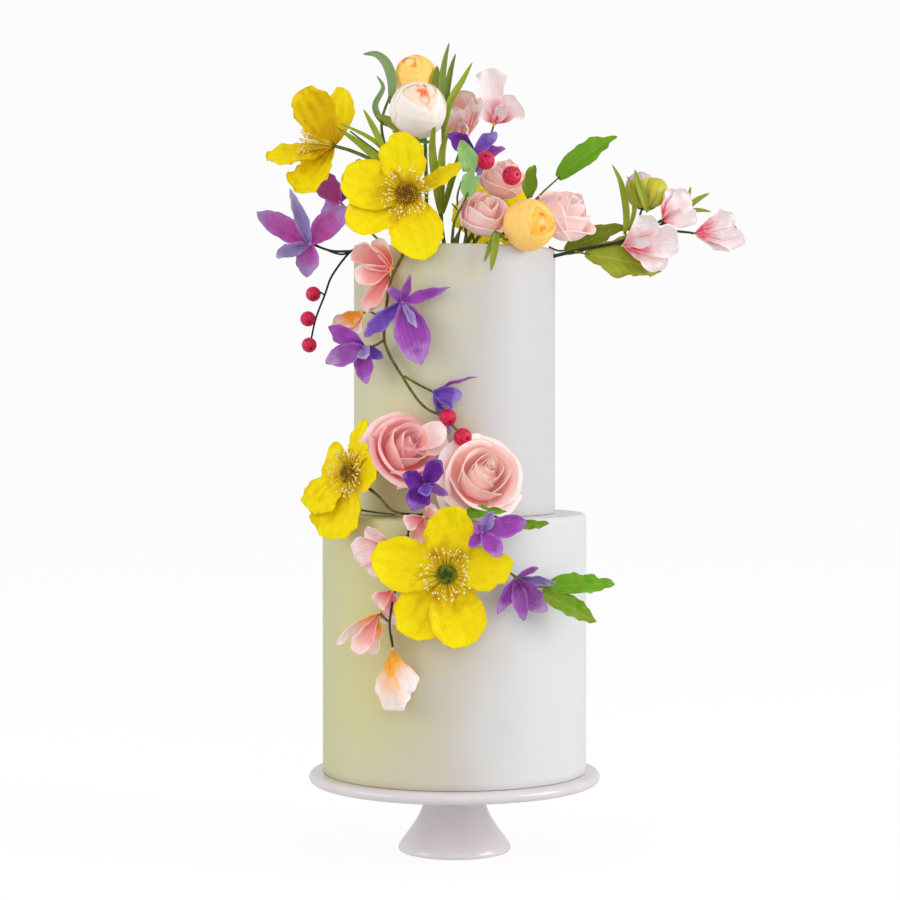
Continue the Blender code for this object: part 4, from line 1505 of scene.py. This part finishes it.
@dataclass
class GlobeBud(Rose):
    """A round bud whose petals lie over each other like shells."""
    shells: tuple[Shell, ...] = ()
    depth: float = 0.95
    drop: float = 0.16
    filler: float = 0.93

    def shape(self, mesh: SugarMesh) -> None:
        """The ball inside, each ring of shells, sepals and a stem.

        Args:
            mesh: what it is added to.
        """
        self.set_frame()
        mesh.use(self.scroll_finish or self.finish)
        mesh.ball(self.heart_at, self.radius * self.filler, self.axis, sides=40, rings=24)
        for number, shell in enumerate(self.shells):
            mesh.use(shell.finish or self.finish)
            for k in range(shell.petals):
                start = self.turn + RING_TURN * number + 360 * k / shell.petals
                self.add_shell(mesh, shell, start, 2.7 * number + 1.3 * k)
        self.add_stem(mesh)
        self.add_sepals(mesh)

    def add_shell(self, mesh: SugarMesh, shell: Shell, start: float, seed: float) -> None:
        """One petal of a ring, closed over the bud.

        Args:
            mesh: what it is added to.
            shell: its ring.
            start: the turn of its middle, in degrees.
            seed: a number that gives it its own waves.
        """
        lowest = 172.0    # degrees from the aim to the petal's foot

        def spot(s: float, share: float) -> Vector:
            """A point of the petal.

            Args:
                s: its share of the way up.
                share: its share of the way across.

            Returns:
                The point.
            """
            t = 2 * share - 1
            grown = 1 - self.drop * abs(t) ** 2.2 + 0.05 * noise.noise(Vector((t * 2.5, seed * 3, 0)))
            fall = math.radians(lowest - (lowest - shell.opening) * s * grown)
            size = shell.size + 0.014 * t + 0.022 * eased(s, 0.86, 1.0)
            size += 0.012 * noise.noise(Vector((t * 2, s * 3, seed)))
            narrowed = 0.6 + 0.4 * eased(s, 0.0, 0.5)
            turn = math.radians(start + 0.5 * shell.span * t * narrowed)
            return self.spot(turn, size * math.sin(fall), size * math.cos(fall))

        mesh.cup(steps=26, lanes=24, spot=spot, thick=0.6, tint=math.sin(seed))


@dataclass
class StripedBud(SugarPiece):
    """A fat green bud with ribs, held by narrow sepals."""
    node: str = "bud_striped"
    slot: Slot = Slot.BUD
    heart: Place = (150, 0, 518)
    radius: float = 15.5
    sepals: tuple[tuple[float, float], ...] = ((-13, 13), (-5, 9), (4, 8), (12, 12))    # tips: X and Z

    def shape(self, mesh: SugarMesh) -> None:
        """Two ribbed lobes side by side.

        Args:
            mesh: what it is added to.
        """
        middle = Vector(self.heart)
        for finish, place, size, aim, squash in (
                (Striped(), (-4, 1, 0), 0.80, (-90, 80), 1.15),
                (Striped("ribbed_bud", top=(206, 196, 30)), (6, -4, -2), 0.66, (90, 70), 1.12)):
            mesh.use(finish)
            mesh.ball(middle + Vector(place), self.radius * size, direction(*aim), squash, sides=56, rings=24,
                      folds=0.03)
        mesh.use(SEPAL)
        foot = middle - UP * (self.radius * 0.95)
        for k, (side, rise) in enumerate(self.sepals):
            petal = Petal(side, -6, rise, self.radius * 0.62)
            mesh.sheet(WAVY_SEPAL.rows(foot, petal, direction(0, 10), k), WAVY_SEPAL.thick, tint=0.3)


@dataclass(kw_only=True)
class Berry(SugarPiece):
    """One glossy berry with a dark dimple at its end."""
    middle: Place
    radius: float
    looks: Aim = (20, -35)
    slot: Slot = Slot.BERRY

    def shape(self, mesh: SugarMesh) -> None:
        """A dimpled ball and its dot.

        Args:
            mesh: what it is added to.
        """
        middle, axis = Vector(self.middle), direction(*self.looks)
        mesh.use(BERRY)
        mesh.ball(middle, self.radius, axis, sides=32, rings=20, dimple=0.16)
        mesh.use(BERRY_DOT)
        end = middle + axis * (self.radius * 0.82)
        mesh.ball(end, self.radius * 0.17, axis, squash=0.7, sides=10, rings=6)


class Leaf(NamedTuple):
    """A leaf or blade from its foot to its tip."""
    foot: Place
    tip: Place
    width: float
    faces: Aim = (0, 20)
    form: Form = LEAFY
    finish: Finish = LEAF
    tint: float = 0.0

    def add_to(self, mesh: SugarMesh, seed: float) -> None:
        """Add the leaf to a mesh.

        Args:
            mesh: what it is added to.
            seed: a number that gives it its own creases.
        """
        mesh.use(self.finish)
        foot, tip = Vector(self.foot), Vector(self.tip)
        rows = self.form.rows(foot, Petal(*(tip - foot), self.width), direction(*self.faces), seed)
        mesh.sheet(rows, self.form.thick, self.tint)


class Stem(NamedTuple):
    """A round stem through points chosen along its way."""
    thick: float
    points: tuple[Place, ...]
    finish: Optional[Finish] = None


class Ribbon(NamedTuple):
    """A narrow leaf along a curved route from its foot to its tip."""
    width: float
    points: tuple[Place, ...]
    finish: Finish = BLADE_GREEN
    faces: Aim = (0, 10)
    tint: float = 0.0


@dataclass(kw_only=True)
class Spray(SugarPiece):
    """Leaves and stems that are one piece."""
    leaves: tuple[Leaf, ...] = ()
    stems: tuple[Stem, ...] = ()
    ribbons: tuple[Ribbon, ...] = ()
    slot: Slot = Slot.LEAF
    finish: Finish = GREEN_STEM

    def shape(self, mesh: SugarMesh) -> None:
        """Each stem, then each leaf, then each ribbon.

        Args:
            mesh: what it is added to.
        """
        for stem in self.stems:
            mesh.use(stem.finish or self.finish)
            mesh.tube(smooth_route(stem.points), (stem.thick, stem.thick * 0.7))
        for k, leaf in enumerate(self.leaves):
            leaf.add_to(mesh, 1.3 * k + leaf.foot[0] * 0.1)
        for ribbon in self.ribbons:
            self.add_ribbon(mesh, ribbon)

    @staticmethod
    def add_ribbon(mesh: SugarMesh, ribbon: Ribbon) -> None:
        """A grooved blade that follows its route.

        Args:
            mesh: what it is added to.
            ribbon: the blade.
        """
        mesh.use(ribbon.finish)
        route, face = smooth_route(ribbon.points), direction(*ribbon.faces)
        last, lanes = len(route) - 1, 8
        rows = []
        for i, spot in enumerate(route):
            s = i / last
            way = (route[min(i + 1, last)] - route[max(i - 1, 0)]).normalized()
            side = way.cross(face).normalized()
            up = side.cross(way)
            half = 0.5 * ribbon.width * math.sin(math.pi * (0.04 + 0.96 * s) ** 0.8) ** 0.7
            sides = [2 * j / lanes - 1 for j in range(lanes + 1)]
            rows.append([spot + side * (half * t) + up * (0.5 * half * t ** 2) for t in sides])
        rows[-1] = [route[-1]] * (lanes + 1)
        mesh.sheet(rows, thick=0.9, tint=ribbon.tint)


TIERS = (
    Tier("tier_lower", Slot.ICING, LOWER_RADIUS, 63.8, LOWER_TOP, Icing("lower_icing", LOWER_RADIUS)),
    # The upper tier's white and cream are greyer than the lower tier's: painted shade of the flowers that
    # crown it
    Tier("tier_upper", Slot.ICING, UPPER_RADIUS, 265.8, UPPER_TOP,
         Icing("upper_icing_painted_shade", UPPER_RADIUS, white=(211, 209, 211), cream=(207, 202, 196),
               lime=(219, 217, 180), moss=(208, 207, 174), peach=(224, 204, 160))),
)

BUTTERCUPS = (
    Buttercup("yellow_top_front", heart=(-36, -73, 508.5), aim=(-3, 8), core=9.4, petals=(
        Petal(-5, -3, 47, 36, form=KITE), Petal(-49, -5, 12, 40), Petal(-44, -9, -24, 36),
        Petal(14, -14, -51, 42, form=KITE), Petal(43, 2, 24, 24, (-50, 30), form=KITE))),
    Buttercup("yellow_low_front", heart=(-6, -115, 226), aim=(0, 6), core=7.6, seeds=GREEN_SEED, petals=(
        Petal(5, -3, 52, 40, form=KITE), Petal(-56, -2, 14, 42, form=KITE), Petal(-30, -4, -46, 42),
        Petal(14, -8, -54, 42), Petal(49, -5, 8, 33, form=KITE))),
    Buttercup("yellow_mid_left", heart=(-79, -74, 299), aim=(-50, 6), petals=(
        Petal(13, -8, 40, 26, form=KITE), Petal(-20, 18, 10, 36), Petal(-34, 6, -28, 32, form=BROAD),
        Petal(-14, -7, -50, 44, (-30, 15), form=BROAD), Petal(22, -22, 4, 34))),
    Buttercup("yellow_top_left", heart=(-94, -25, 550), aim=(-85, 8), core=3.4, petals=(
        Petal(-22, -16, 42, 34, (0, 10), GOLDEN, BROAD), Petal(7, 18, 48, 26, (-10, 10), form=KITE),
        Petal(-52, -6, -10, 30, (-15, 50), form=BROAD), Petal(-29, -2, -36, 34, (-15, 40), form=BROAD)),
        stamens=54, crown=10, brush=24, stem=((-78, -30, 545), (-62, -38, 536), (-44, -43, 515))),
    Buttercup("yellow_top_back", heart=(28, 48, 506), aim=(168, 18), finish=BRIGHT, petals=(
        Petal(2, 6, 32, 30), Petal(29, 4, 25, 26), Petal(28, 8, -22, 32),
        Petal(-8, 10, -31, 30), Petal(-30, 6, -8, 28))),
)

VIOLETS = (
    Violet("purple_left_front", heart=(-111, -32, 474), aim=(-12, 20), finish=MAGENTA, petals=(
        Petal(-41, -3, 24, 21), Petal(-15, -8, 42, 13, finish=LILAC, form=NARROW), Petal(30, -4, 27, 26),
        Petal(-26, -12, -11, 14, finish=LILAC), Petal(-2, -8, -26, 21)),
        stem=((-108, -33, 473), (-94, -41, 468), (-79, -52, 467)), stem_finish=BLACK_TWIG),
    Violet("purple_left_back", heart=(-89, -8, 508), aim=(-30, 25), finish=MAGENTA, petals=(
        Petal(-19, -4, 24, 22), Petal(16, -2, 33, 15, finish=PURPLE), Petal(-16, 20, -6, 16),
        Petal(8, 24, 14, 18))),
    Violet("purple_top", heart=(15, -46, 541), aim=(0, 25), core=3.2, finish=BLUE_VIOLET, petals=(
        Petal(-20, -3, 15, 17, finish=DEEP_VIOLET), Petal(17, -2, 17, 13),
        Petal(24, -3, 4, 11, finish=PURPLE), Petal(-8, -5, -14, 10, finish=DEEP_VIOLET),
        Petal(5, -5, -17, 10))),
    Violet("purple_centre", heart=(-39, -84, 427), aim=(5, 0), core=3.6, petals=(
        Petal(14, -5, -47, 29), Petal(-29, -2, -26, 14, finish=BLUE_VIOLET),
        Petal(36, -2, 11, 11, form=NARROW), Petal(-11, -3, 11, 11, finish=MAUVE_PETAL),
        Petal(6, -3, 20, 9, finish=MAUVE_PETAL, form=NARROW), Petal(11, -9, -19, 7, finish=LILAC)),
        stem=((-48, -76, 424), (-52, -72, 415)), stem_finish=OLIVE_STEM),
    Violet("purple_edge", heart=(-68, -69, 394), aim=(-20, 5), core=3.6, petals=(
        Petal(-27, 2, 15, 16), Petal(-29, 0, -12, 20, finish=MAUVE_PETAL), Petal(1, -5, -28, 17),
        Petal(14, -4, -8, 10, finish=BLUE_VIOLET), Petal(2, -11, -10, 14, finish=LILAC)),
        stem=((-60, -70, 395), (-52, -71, 400)), stem_finish=OLIVE_STEM),
    Violet("purple_bell", heart=(-16, -83, 360), aim=(60, -10), core=2.8, finish=BLUE_VIOLET, petals=(
        Petal(22, -5, -2, 14), Petal(14, -6, -13, 15), Petal(13, 1, -32, 8), Petal(8, -4, -20, 9),
        Petal(34, -4, 12, 4, finish=MAGENTA, form=NARROW)),
        stem=((-20, -82, 362), (-26, -81, 365)), stem_finish=OLIVE_STEM),
    Violet("purple_mid", heart=(-22, -119, 292), aim=(0, 8), core=3.6, finish=DEEP_VIOLET, petals=(
        Petal(-16, -3, 8, 15), Petal(12, -3, 19, 17), Petal(-9, -5, -19, 20),
        Petal(17, -4, -7, 9, finish=MAUVE_PETAL), Petal(2, -9, -8, 13, finish=BLUE_VIOLET))),
    Violet("purple_ledge", heart=(20, -117, 257), aim=(10, 10), core=3.4, petals=(
        Petal(33, 0, 8, 18), Petal(8, -6, 16, 10, finish=LILAC), Petal(14, -9, -18, 16),
        Petal(-9, -4, -10, 11), Petal(-6, -4, 6, 8)),
        stem=((12, -110, 262), (2, -104, 268)), stem_finish=OLIVE_STEM),
    Violet("purple_hanging", heart=(45, -104, 222), aim=(10, -35), core=3.2, finish=MAUVE_PETAL, petals=(
        Petal(-13, -4, -25, 11, finish=PURPLE), Petal(6, -8, -31, 13), Petal(23, -3, -24, 20),
        Petal(17, -2, 9, 6), Petal(30, 0, -3, 9, finish=LILAC)),
        stem=((40, -107, 227), (30, -108, 232)), stem_finish=OLIVE_STEM),
)

PEAS = (
    SweetPea("pea_top_centre", heart=(6, -16, 554), aim=(-25, 30), petals=(
        Petal(-13, -8, 24, 26, finish=SALMON), Petal(2, 2, 40, 30, finish=SALMON), Petal(13, -6, 32, 22),
        Petal(2, -8, 14, 18, form=HOODED))),
    SweetPea("pea_top_right", finish=WHITE_PINK, heart=(31, -6, 569), aim=(10, 20), petals=(
        Petal(-5, -2, 43, 27), Petal(-16, -6, 17, 19), Petal(20, -5, 17, 24),
        Petal(8, -8, 14, 16, form=HOODED))),
    SweetPea("pea_edge_pair", heart=(-48, -68, 453), aim=(-45, 0), finish=SALMON, form=ROLLED, petals=(
        Petal(-27, -4, 17, 32, form=HOODED), Petal(-8, -10, 22, 22), Petal(-27, -4, -8, 22),
        Petal(-19, -2, -34, 25, form=HOODED)),
        stem=((-49, -70, 448), (-48, -73, 443)), stem_finish=OLIVE_STEM),
    SweetPea("pea_edge_low", heart=(-71, -52, 420), aim=(-40, -15), finish=ORANGE_FOOT, petals=(
        Petal(-22, -1, -13, 24, form=HOODED), Petal(-6, -4, -18, 20)),
        stem=((-62, -60, 420), (-53, -70, 412)), stem_finish=OLIVE_STEM),
    SweetPea("pea_low_left", heart=(-49, -107, 249), aim=(-40, 0), petals=(
        Petal(-25, 2, -11, 28), Petal(-18, 0, 10, 14, form=HOODED), Petal(-14, 1, -23, 21))),
    SweetPea("pea_low_top", heart=(-23, -108, 268), aim=(-20, 0), finish=SALMON, petals=(
        Petal(-14, -3, -6, 13), Petal(-4, 1, -21, 18), Petal(10, 0, 7, 15))),
    SweetPea("pea_low_mid", heart=(-46, -108, 214), aim=(-30, -10), finish=SALMON, petals=(
        Petal(-12, 1, -12, 17), Petal(1, 2, -27, 20))),
    SweetPea("pea_low_trumpet", finish=ORANGE_FOOT, heart=(-56, -104, 196), aim=(-40, -40), core=3.0, petals=(
        Petal(-32, 0, -23, 13, form=HOODED), Petal(-17, -8, -29, 17, finish=SALMON), Petal(-5, -2, -31, 15)),
        stem=((-52, -106, 193), (-48, -108, 190)), stem_finish=OLIVE_STEM),
    SweetPea("pea_low_bell", finish=ORANGE_FOOT, heart=(-46, -108, 170), aim=(20, -50), core=3.0, petals=(
        Petal(1, -5, -46, 26, (0, 20), form=BELL), Petal(16, -1, -31, 23, (30, 20), form=BELL),
        Petal(8, -3, -40, 26, (16, 20), form=BELL), Petal(-8, -2, -36, 18, (-20, 20), form=BELL)),
        stem=((-46, -108, 173), (-47, -108, 180)), stem_finish=DARK_STEM),
    SweetPea("pea_right_upper", finish=WHITE_PINK, heart=(162, -5, 494), aim=(50, 20), core=3.0, petals=(
        Petal(6, -4, 25, 20), Petal(27, -5, 1, 24), Petal(22, 4, 20, 26), Petal(12, -8, 10, 13, form=HOODED)),
        stem=((163, -5, 492), (150, -7, 487)), stem_finish=DARK_STEM),
    SweetPea("pea_right_lower", finish=WHITE_PINK, heart=(131, -13, 474), aim=(40, 5), core=3.0, petals=(
        Petal(25, -6, 21, 24), Petal(43, -6, 3, 28), Petal(34, -3, -16, 24),
        Petal(22, -9, 3, 12, form=HOODED)),
        stem=((129, -12, 475), (124, -12, 476)), stem_finish=DARK_STEM),
    SweetPea("pea_right_trumpet", finish=WHITE_PINK, heart=(187, -6, 484), aim=(60, 10), core=2.4, petals=(
        Petal(31, 0, 15, 17), Petal(39, -3, -7, 20), Petal(27, -2, -14, 16), Petal(34, 2, 4, 18)),
        stem=((184, -6, 484.5), (173, -7, 485.5)), stem_finish=DARK_STEM),
)

ROSES = (
    Rose("rose_left", Slot.ROSE, (-37, -91, 318), (24, 22), 24.5, finish=DEEP_ROSE, scroll_finish=MAUVE,
         turn=20, shift=(0.10, 0.12), loose=(Petal(31, -2, 15, 24), Petal(33, 2, 4, 22))),
    Rose("rose_right", Slot.ROSE, (20, -95, 297), (14, 18), 28.5, PALE_EDGED, turn=75, shift=(0.12, 0.16)),
    Rose("rose_bud_front", Slot.ROSE, (21, -58, 494), (20, 38), 19.0, PALE_OUTSIDE, turn=200,
         shift=(0.1, 0.12)),
    Rose("rose_behind", Slot.ROSE, (39, -28, 523), (10, 62), 19.0, HALF_OPEN, turn=40),
    Rose("rose_top_right", Slot.ROSE, (84, -22, 496), (50, 45), 24.0, HALF_OPEN, PALE_ROSE, turn=120),
    GlobeBud("globe_peach", Slot.PEACH, (56, -66, 486), (32, 2), 19.5, finish=PEACH, scroll_finish=ORANGE,
             turn=10, shells=(
        Shell(2, 0.935, 8, 200, ORANGE), Shell(3, 0.95, 17, 150, ORANGE), Shell(3, 0.962, 28, 150, AMBER),
        Shell(3, 0.975, 40, 160, AMBER), Shell(3, 0.99, 56, 170))),
    GlobeBud("globe_peach_top", Slot.PEACH, (-30, -14, 604), (-24, 40), 17.0, finish=AMBER,
             scroll_finish=ORANGE, turn=60, sepals=3, filler=0.965, shells=(
        Shell(2, 0.970, 15, 230), Shell(2, 0.985, 34, 240)), bracts=(
        Leaf((-18, -24, 594), (-13, -22, 612), 9, (35, 10), BRACT, OLIVE_SEPAL),)),
    GlobeBud("globe_white", Slot.WHITE, (-28, -36, 576), (14, 34), 22.0, finish=WHITE,
             scroll_finish=ORANGE_HEART, turn=190, sepals=4, filler=0.945, shells=(
        Shell(2, 0.948, 9, 200, ORANGE_HEART), Shell(3, 0.956, 20, 140, ORANGE_HEART),
        Shell(3, 0.966, 33, 160), Shell(3, 0.978, 58, 170)), bracts=(
        Leaf((-28, -40, 553), (-62, -35, 574), 11, (-10, 20), BRACT, OLIVE_SEPAL, 0.2),)),
)

BERRIES = (
    Berry("berry_left_upper", middle=(-108, -43, 435), radius=5.8),
    Berry("berry_left_mid", middle=(-112, -44, 416), radius=5.9),
    Berry("berry_left_low", middle=(-111, -45, 396), radius=5.8),
    Berry("berry_centre_upper", middle=(-5, -89, 341), radius=6.5),
    Berry("berry_centre_low", middle=(6, -91, 326.5), radius=6.9, looks=(35, -10)),
    Berry("berry_top_left", middle=(23, -70, 534), radius=7.2, looks=(0, 25)),
    Berry("berry_top_right", middle=(43, -66, 523), radius=7.4, looks=(40, 5)),
)

SPRAYS = (
    Spray("leaf_right_high", leaves=(Leaf((80, -22, 525), (126, -22, 559), 20, (0, 30)),), stems=(
        Stem(0.9, ((58, -34, 503), (68, -28, 514), (82, -22, 527)), OLIVE_STEM),)),
    Spray("leaf_right_mid", leaves=(Leaf((87, 4, 470), (134, 2, 491), 18, (0, 20), tint=0.55),), stems=(
        Stem(0.9, ((74, 4, 474), (82, 4, 471), (90, 4, 472))),)),
    Spray("leaf_right_low", leaves=(
        Leaf((101, -12, 467), (160, -2, 454), 34, (0, 28), ANGULAR, WORN_LEAF, 0.7),), stems=(
        Stem(0.9, ((93, -18, 469.5), (98, -19, 468), (105, -19, 466.5))),)),
    Spray("leaves_low", leaves=(
        Leaf((67, -92, 214), (122, -76, 215), 17, (20, 30), tint=0.1),
        Leaf((64, -96, 211), (106, -88, 187), 17, (20, 20), tint=0.3)), stems=(
        Stem(1.0, ((58, -97, 216), (64, -94, 215), (72, -91, 214))),
        Stem(1.0, ((58, -97, 216), (62, -97, 212), (68, -95, 209))))),
    Spray("leaves_ledge", leaves=(
        Leaf((6, -107, 270), (39, -107, 272), 9),
        Leaf((44, -107, 261), (70, -106, 262), 8, tint=0.3)), stems=(
        Stem(1.0, ((2, -104, 269), (20, -106, 270), (36, -106, 266), (48, -107, 261))),)),
    Spray("leaf_top_right", leaves=(
        Leaf((57, -45, 508), (61, -44, 535), 12, (-20, 20), tint=0.3),
        Leaf((31, -81, 480), (22, -84, 457), 5, (0, 10), BLADE, BLADE_GREEN, 0.4),
        Leaf((31, -81, 480), (27, -85, 450), 6, (10, 10), BLADE, BLADE_GREEN, 0.3)), stems=(
        Stem(1.2, ((57, -44, 512), (50, -47, 490), (40, -68, 475), (34, -80, 478), (30, -82, 480))),)),
    Spray("leaves_top_centre", leaves=(
        Leaf((13, -79, 524), (4, -81, 548), 14, finish=SEPAL),
        Leaf((9, -80, 506), (14, -82, 528), 13, finish=SEPAL)), stems=(
        Stem(1.2, ((-2, -62, 473), (0, -74, 488), (8, -80, 504), (12, -80, 516), (13, -79, 527))),)),
    Spray("grass_top", ribbons=(
        Ribbon(5.5, ((-9, -30, 560), (-10, -27, 590), (-8, -25, 612), (-4, -24, 630)), DULL_GREEN),
        Ribbon(5, ((-8, -29, 562), (-6, -24, 590), (-3, -21, 608), (1, -20, 622)), DULL_GREEN, tint=0.4),
        Ribbon(5.5, ((-9, -30, 556), (-4, -26, 582), (6, -23, 600), (14, -22, 615))),
        Ribbon(7, ((-11, -46, 496), (-14, -47, 520), (-17, -47, 545), (-15, -46, 568)), tint=0.4),
        Ribbon(6, ((-10, -45, 496), (-10, -46, 525), (-9, -46, 545), (-3, -45, 564)), tint=0.2),
        Ribbon(5, ((-9, -44, 496), (-4, -44, 515), (2, -43, 535), (5, -42, 548)), tint=0.6)), stems=(
        Stem(1.6, ((-8, -30, 473), (-10, -38, 490), (-10, -40, 510), (-9, -34, 540), (-9, -29, 565))),
        Stem(1.4, ((-10, -38, 490), (-11, -42, 496), (-11, -45, 502))),
        Stem(1.0, ((10, -30, 473), (7, -42, 490), (2, -48, 506), (5, -50, 520))),
        Stem(1.0, ((2, -34, 473), (5, -46, 486), (14, -50, 498), (16, -50, 512))),
        Stem(0.9, ((16, -36, 473), (12, -48, 484), (6, -52, 494), (-2, -54, 503))))),
    Spray("blades_left", ribbons=(
        Ribbon(6.5, ((-42, -44, 520), (-56, -44, 535), (-72, -42, 549), (-91, -40, 563)), tint=0.3),
        Ribbon(4, ((-47, -43, 532), (-55, -42, 546), (-68, -40, 556), (-88, -38, 566)), tint=0.1),
        Ribbon(5, ((-54, -43, 545), (-58, -41, 554), (-64, -38, 566), (-70, -36, 577)))), stems=(
        Stem(1.5, ((-30, -34, 473), (-36, -40, 500), (-43, -44, 522), (-54, -43, 546))),
        Stem(1.3, ((-44, -43, 515), (-62, -38, 536), (-78, -30, 545), (-92, -25, 550))),
        Stem(0.9, ((-46, -43, 530), (-56, -42, 541), (-70, -38, 552), (-80, -34, 560))))),
    Spray("leaf_curled", ribbons=(
        Ribbon(8, ((-49, -25, 582), (-48, -25, 598), (-52, -24, 612), (-60, -23, 620), (-71, -22, 621)),
               SAGE),
        Ribbon(5, ((-40, -28, 562), (-55, -28, 568), (-61, -28, 580), (-55, -27, 594), (-60, -26, 604)),
               SAGE)), stems=(
        Stem(1.4, ((-24, -20, 473), (-40, -26, 510), (-53, -29, 548), (-56, -29, 568), (-50, -26, 588))),)),
    Spray("blades_right", ribbons=(
        Ribbon(5.5, ((133, -3, 483), (134, -4, 500), (130, -5, 522), (123, -5, 538))),
        Ribbon(4, ((136, -2, 486), (140, -8, 502), (138, -12, 518), (134, -14, 528))),
        Ribbon(5.5, ((150, -10, 500), (146, -14, 512), (142, -14, 524), (140, -14, 533))),
        Ribbon(4, ((178, 8, 499), (180, 9, 506), (184, 10, 515), (186, 10, 522))),
        Ribbon(5, ((178, 8, 499), (184, 9, 506), (192, 10, 512), (201, 10, 517))),
        Ribbon(4, ((174, 7, 497), (184, 8, 502), (193, 8, 503), (202, 8, 502)))), stems=(
        Stem(1.1, ((132, -4, 481), (148, 2, 488), (166, 6, 493), (180, 8, 500))),)),
    Spray("twig_left", slot=Slot.TWIG, finish=BLACK_TWIG, stems=(
        Stem(1.0, ((-60, -36, 468), (-70, -43, 469), (-79, -50, 467), (-93, -50, 449), (-99, -47, 434),
                   (-106, -45, 416), (-110, -45, 398))),
        Stem(0.9, ((-79, -50, 467), (-86, -47, 465), (-96, -40, 468), (-108, -33, 474))),
        Stem(0.7, ((-99, -47, 434), (-104, -44, 437), (-108, -43, 436))))),
    Spray("branch_centre", slot=Slot.TWIG, finish=OLIVE_STEM, stems=(
        Stem(1.4, ((-31, -64, 473), (-37, -77, 469), (-40, -78, 460), (-45, -75, 451), (-49, -72, 440),
                   (-52, -71, 417), (-53, -71, 400), (-49, -73, 388), (-42, -76, 376), (-29, -82, 356),
                   (-20, -86, 347), (-8, -89, 341), (6, -91, 327))),
        Stem(1.0, ((-38, -77, 372), (-26, -81, 365), (-15, -83, 360))))),
    Spray("branch_right", slot=Slot.TWIG, finish=DARK_STEM, stems=(
        Stem(1.5, ((72, -17, 464), (79, -17, 466), (100, -15, 471), (125, -12, 476),
                   (134, -11, 479), (148, -8, 486), (163, -5, 495))),
        Stem(1.0, ((144, -9, 484), (160, -8, 486), (173, -7, 485.5), (188, -6, 484))),
        Stem(1.1, ((132, -11, 478), (142, -4, 492), (149, 0, 510))))),
    Spray("stems_low", slot=Slot.TWIG, finish=OLIVE_STEM, stems=(
        Stem(1.2, ((-16, -96, 268), (-26, -101, 269), (-40, -104, 270)), DARK_STEM),
        Stem(1.1, ((-33, -104, 269), (-34, -107, 256), (-36, -106, 244), (-44, -103, 214),
                   (-48, -108, 190), (-46, -108, 172)), DARK_STEM),
        Stem(1.3, ((-79, -74, 298), (-59, -86, 284), (-46, -98, 272), (-30, -102, 269))),
        Stem(0.8, ((-86, -70, 274), (-66, -84, 271), (-44, -100, 269)), DARK_STEM),
        Stem(1.0, ((-35, -108, 254), (-41, -108, 250), (-49, -107, 249))),
        Stem(0.9, ((-48, -108, 190), (-52, -106, 193), (-57, -104, 196))),
        Stem(1.2, ((-36, -108, 246), (-16, -108, 242), (8, -108, 238), (30, -108, 232), (46, -105, 223),
                   (58, -98, 215))))),
)


@dataclass
class Studio:
    """The camera, the lights and the white surroundings."""
    camera_at: Place = (-3.5, -1795.0, 354.0)
    tilt: float = -1.25                    # degrees that the camera looks up
    lens: float = 91.6
    sensor: float = 36.0
    lit_at: Place = (0, 0, 330)            # where the lights look
    light_size: float = 1500.0
    lights: tuple[tuple[str, Place, float], ...] = (      # names, places and watts
        ("right", (2600, -900, 1000), 36),
        ("left", (-2300, -1000, 900), 17),
        ("front", (300, -2600, 1500), 7))
    white: float = 0.973                   # how bright the backdrop looks
    fill: float = 0.68                     # light from all sides
    floor_lit: float = 0.14                # how much of the light the floor gives back
    floor_radius: float = 5000.0
    dome_radius: float = 9000.0

    def add_camera(self) -> None:
        """The camera where the photograph was taken from."""
        lens = bpy.data.cameras.new("photograph")
        lens.lens = self.lens
        lens.sensor_width = self.sensor
        camera = bpy.data.objects.new("photograph", lens)
        camera.location = Vector(self.camera_at) * MM
        camera.rotation_euler = (math.radians(90 + self.tilt), 0, 0)
        bpy.context.scene.collection.objects.link(camera)
        bpy.context.scene.camera = camera

    def add_light(self, name: str, place: Place, power: float) -> None:
        """A square soft light that looks at the cake.

        Args:
            name: the light's name.
            place: where it is, in millimetres.
            power: its power in watts.
        """
        lamp = bpy.data.lights.new(name, "AREA")
        lamp.size = self.light_size * MM
        lamp.energy = power
        light = bpy.data.objects.new(name, lamp)
        light.location = Vector(place) * MM
        looks = Vector(self.lit_at) - Vector(place)
        light.rotation_euler = looks.to_track_quat("-Z", "Y").to_euler()
        bpy.context.scene.collection.objects.link(light)

    def add_surroundings(self) -> None:
        """A pale floor, a white dome that only the camera sees, and even light from the sky."""
        floor = SugarMesh()
        floor.use(Backdrop("pale_floor", self.white - self.floor_lit * self.fill, self.floor_lit))
        floor.turned([(0.0, -1.0), (self.floor_radius, -1.0)], 96)
        floor_object = floor.make("pale_floor")
        dome = SugarMesh()
        dome.use(Backdrop("white_dome", self.white))
        dome.ball(Vector((0, 0, 0)), self.dome_radius)
        dome_object = dome.make("white_dome")
        for item in (floor_object, dome_object):
            item.visible_diffuse = False
            item.visible_glossy = False
            item.visible_transmission = False
        dome_object.visible_shadow = False
        world = bpy.data.worlds.new("soft_light")
        world.use_nodes = True
        sky = world.node_tree.nodes["Background"]
        sky.inputs["Color"].default_value = (1.0, 1.0, 1.0, 1.0)
        sky.inputs["Strength"].default_value = self.fill
        bpy.context.scene.world = world

    def build(self) -> None:
        """Set up the studio with true colours."""
        bpy.context.scene.view_settings.view_transform = "Standard"
        self.add_camera()
        for name, place, power in self.lights:
            self.add_light(name, place, power)
        self.add_surroundings()


def main() -> None:
    """Dress the stand, the tiers and each flower, then set up the studio."""
    logging.basicConfig(level=logging.INFO, format="%(name)s: %(message)s")
    noise.seed_set(NOISE_SEED)
    pieces: list[SugarPiece] = [Stand(), *TIERS, *BUTTERCUPS, *VIOLETS, *PEAS, *ROSES, StripedBud(),
                                *BERRIES, *SPRAYS]
    made = [piece.build() for piece in pieces]
    Studio().build()
    LOG.info("%d pieces dressed", len(made))


if __name__ == "__main__":
    main()
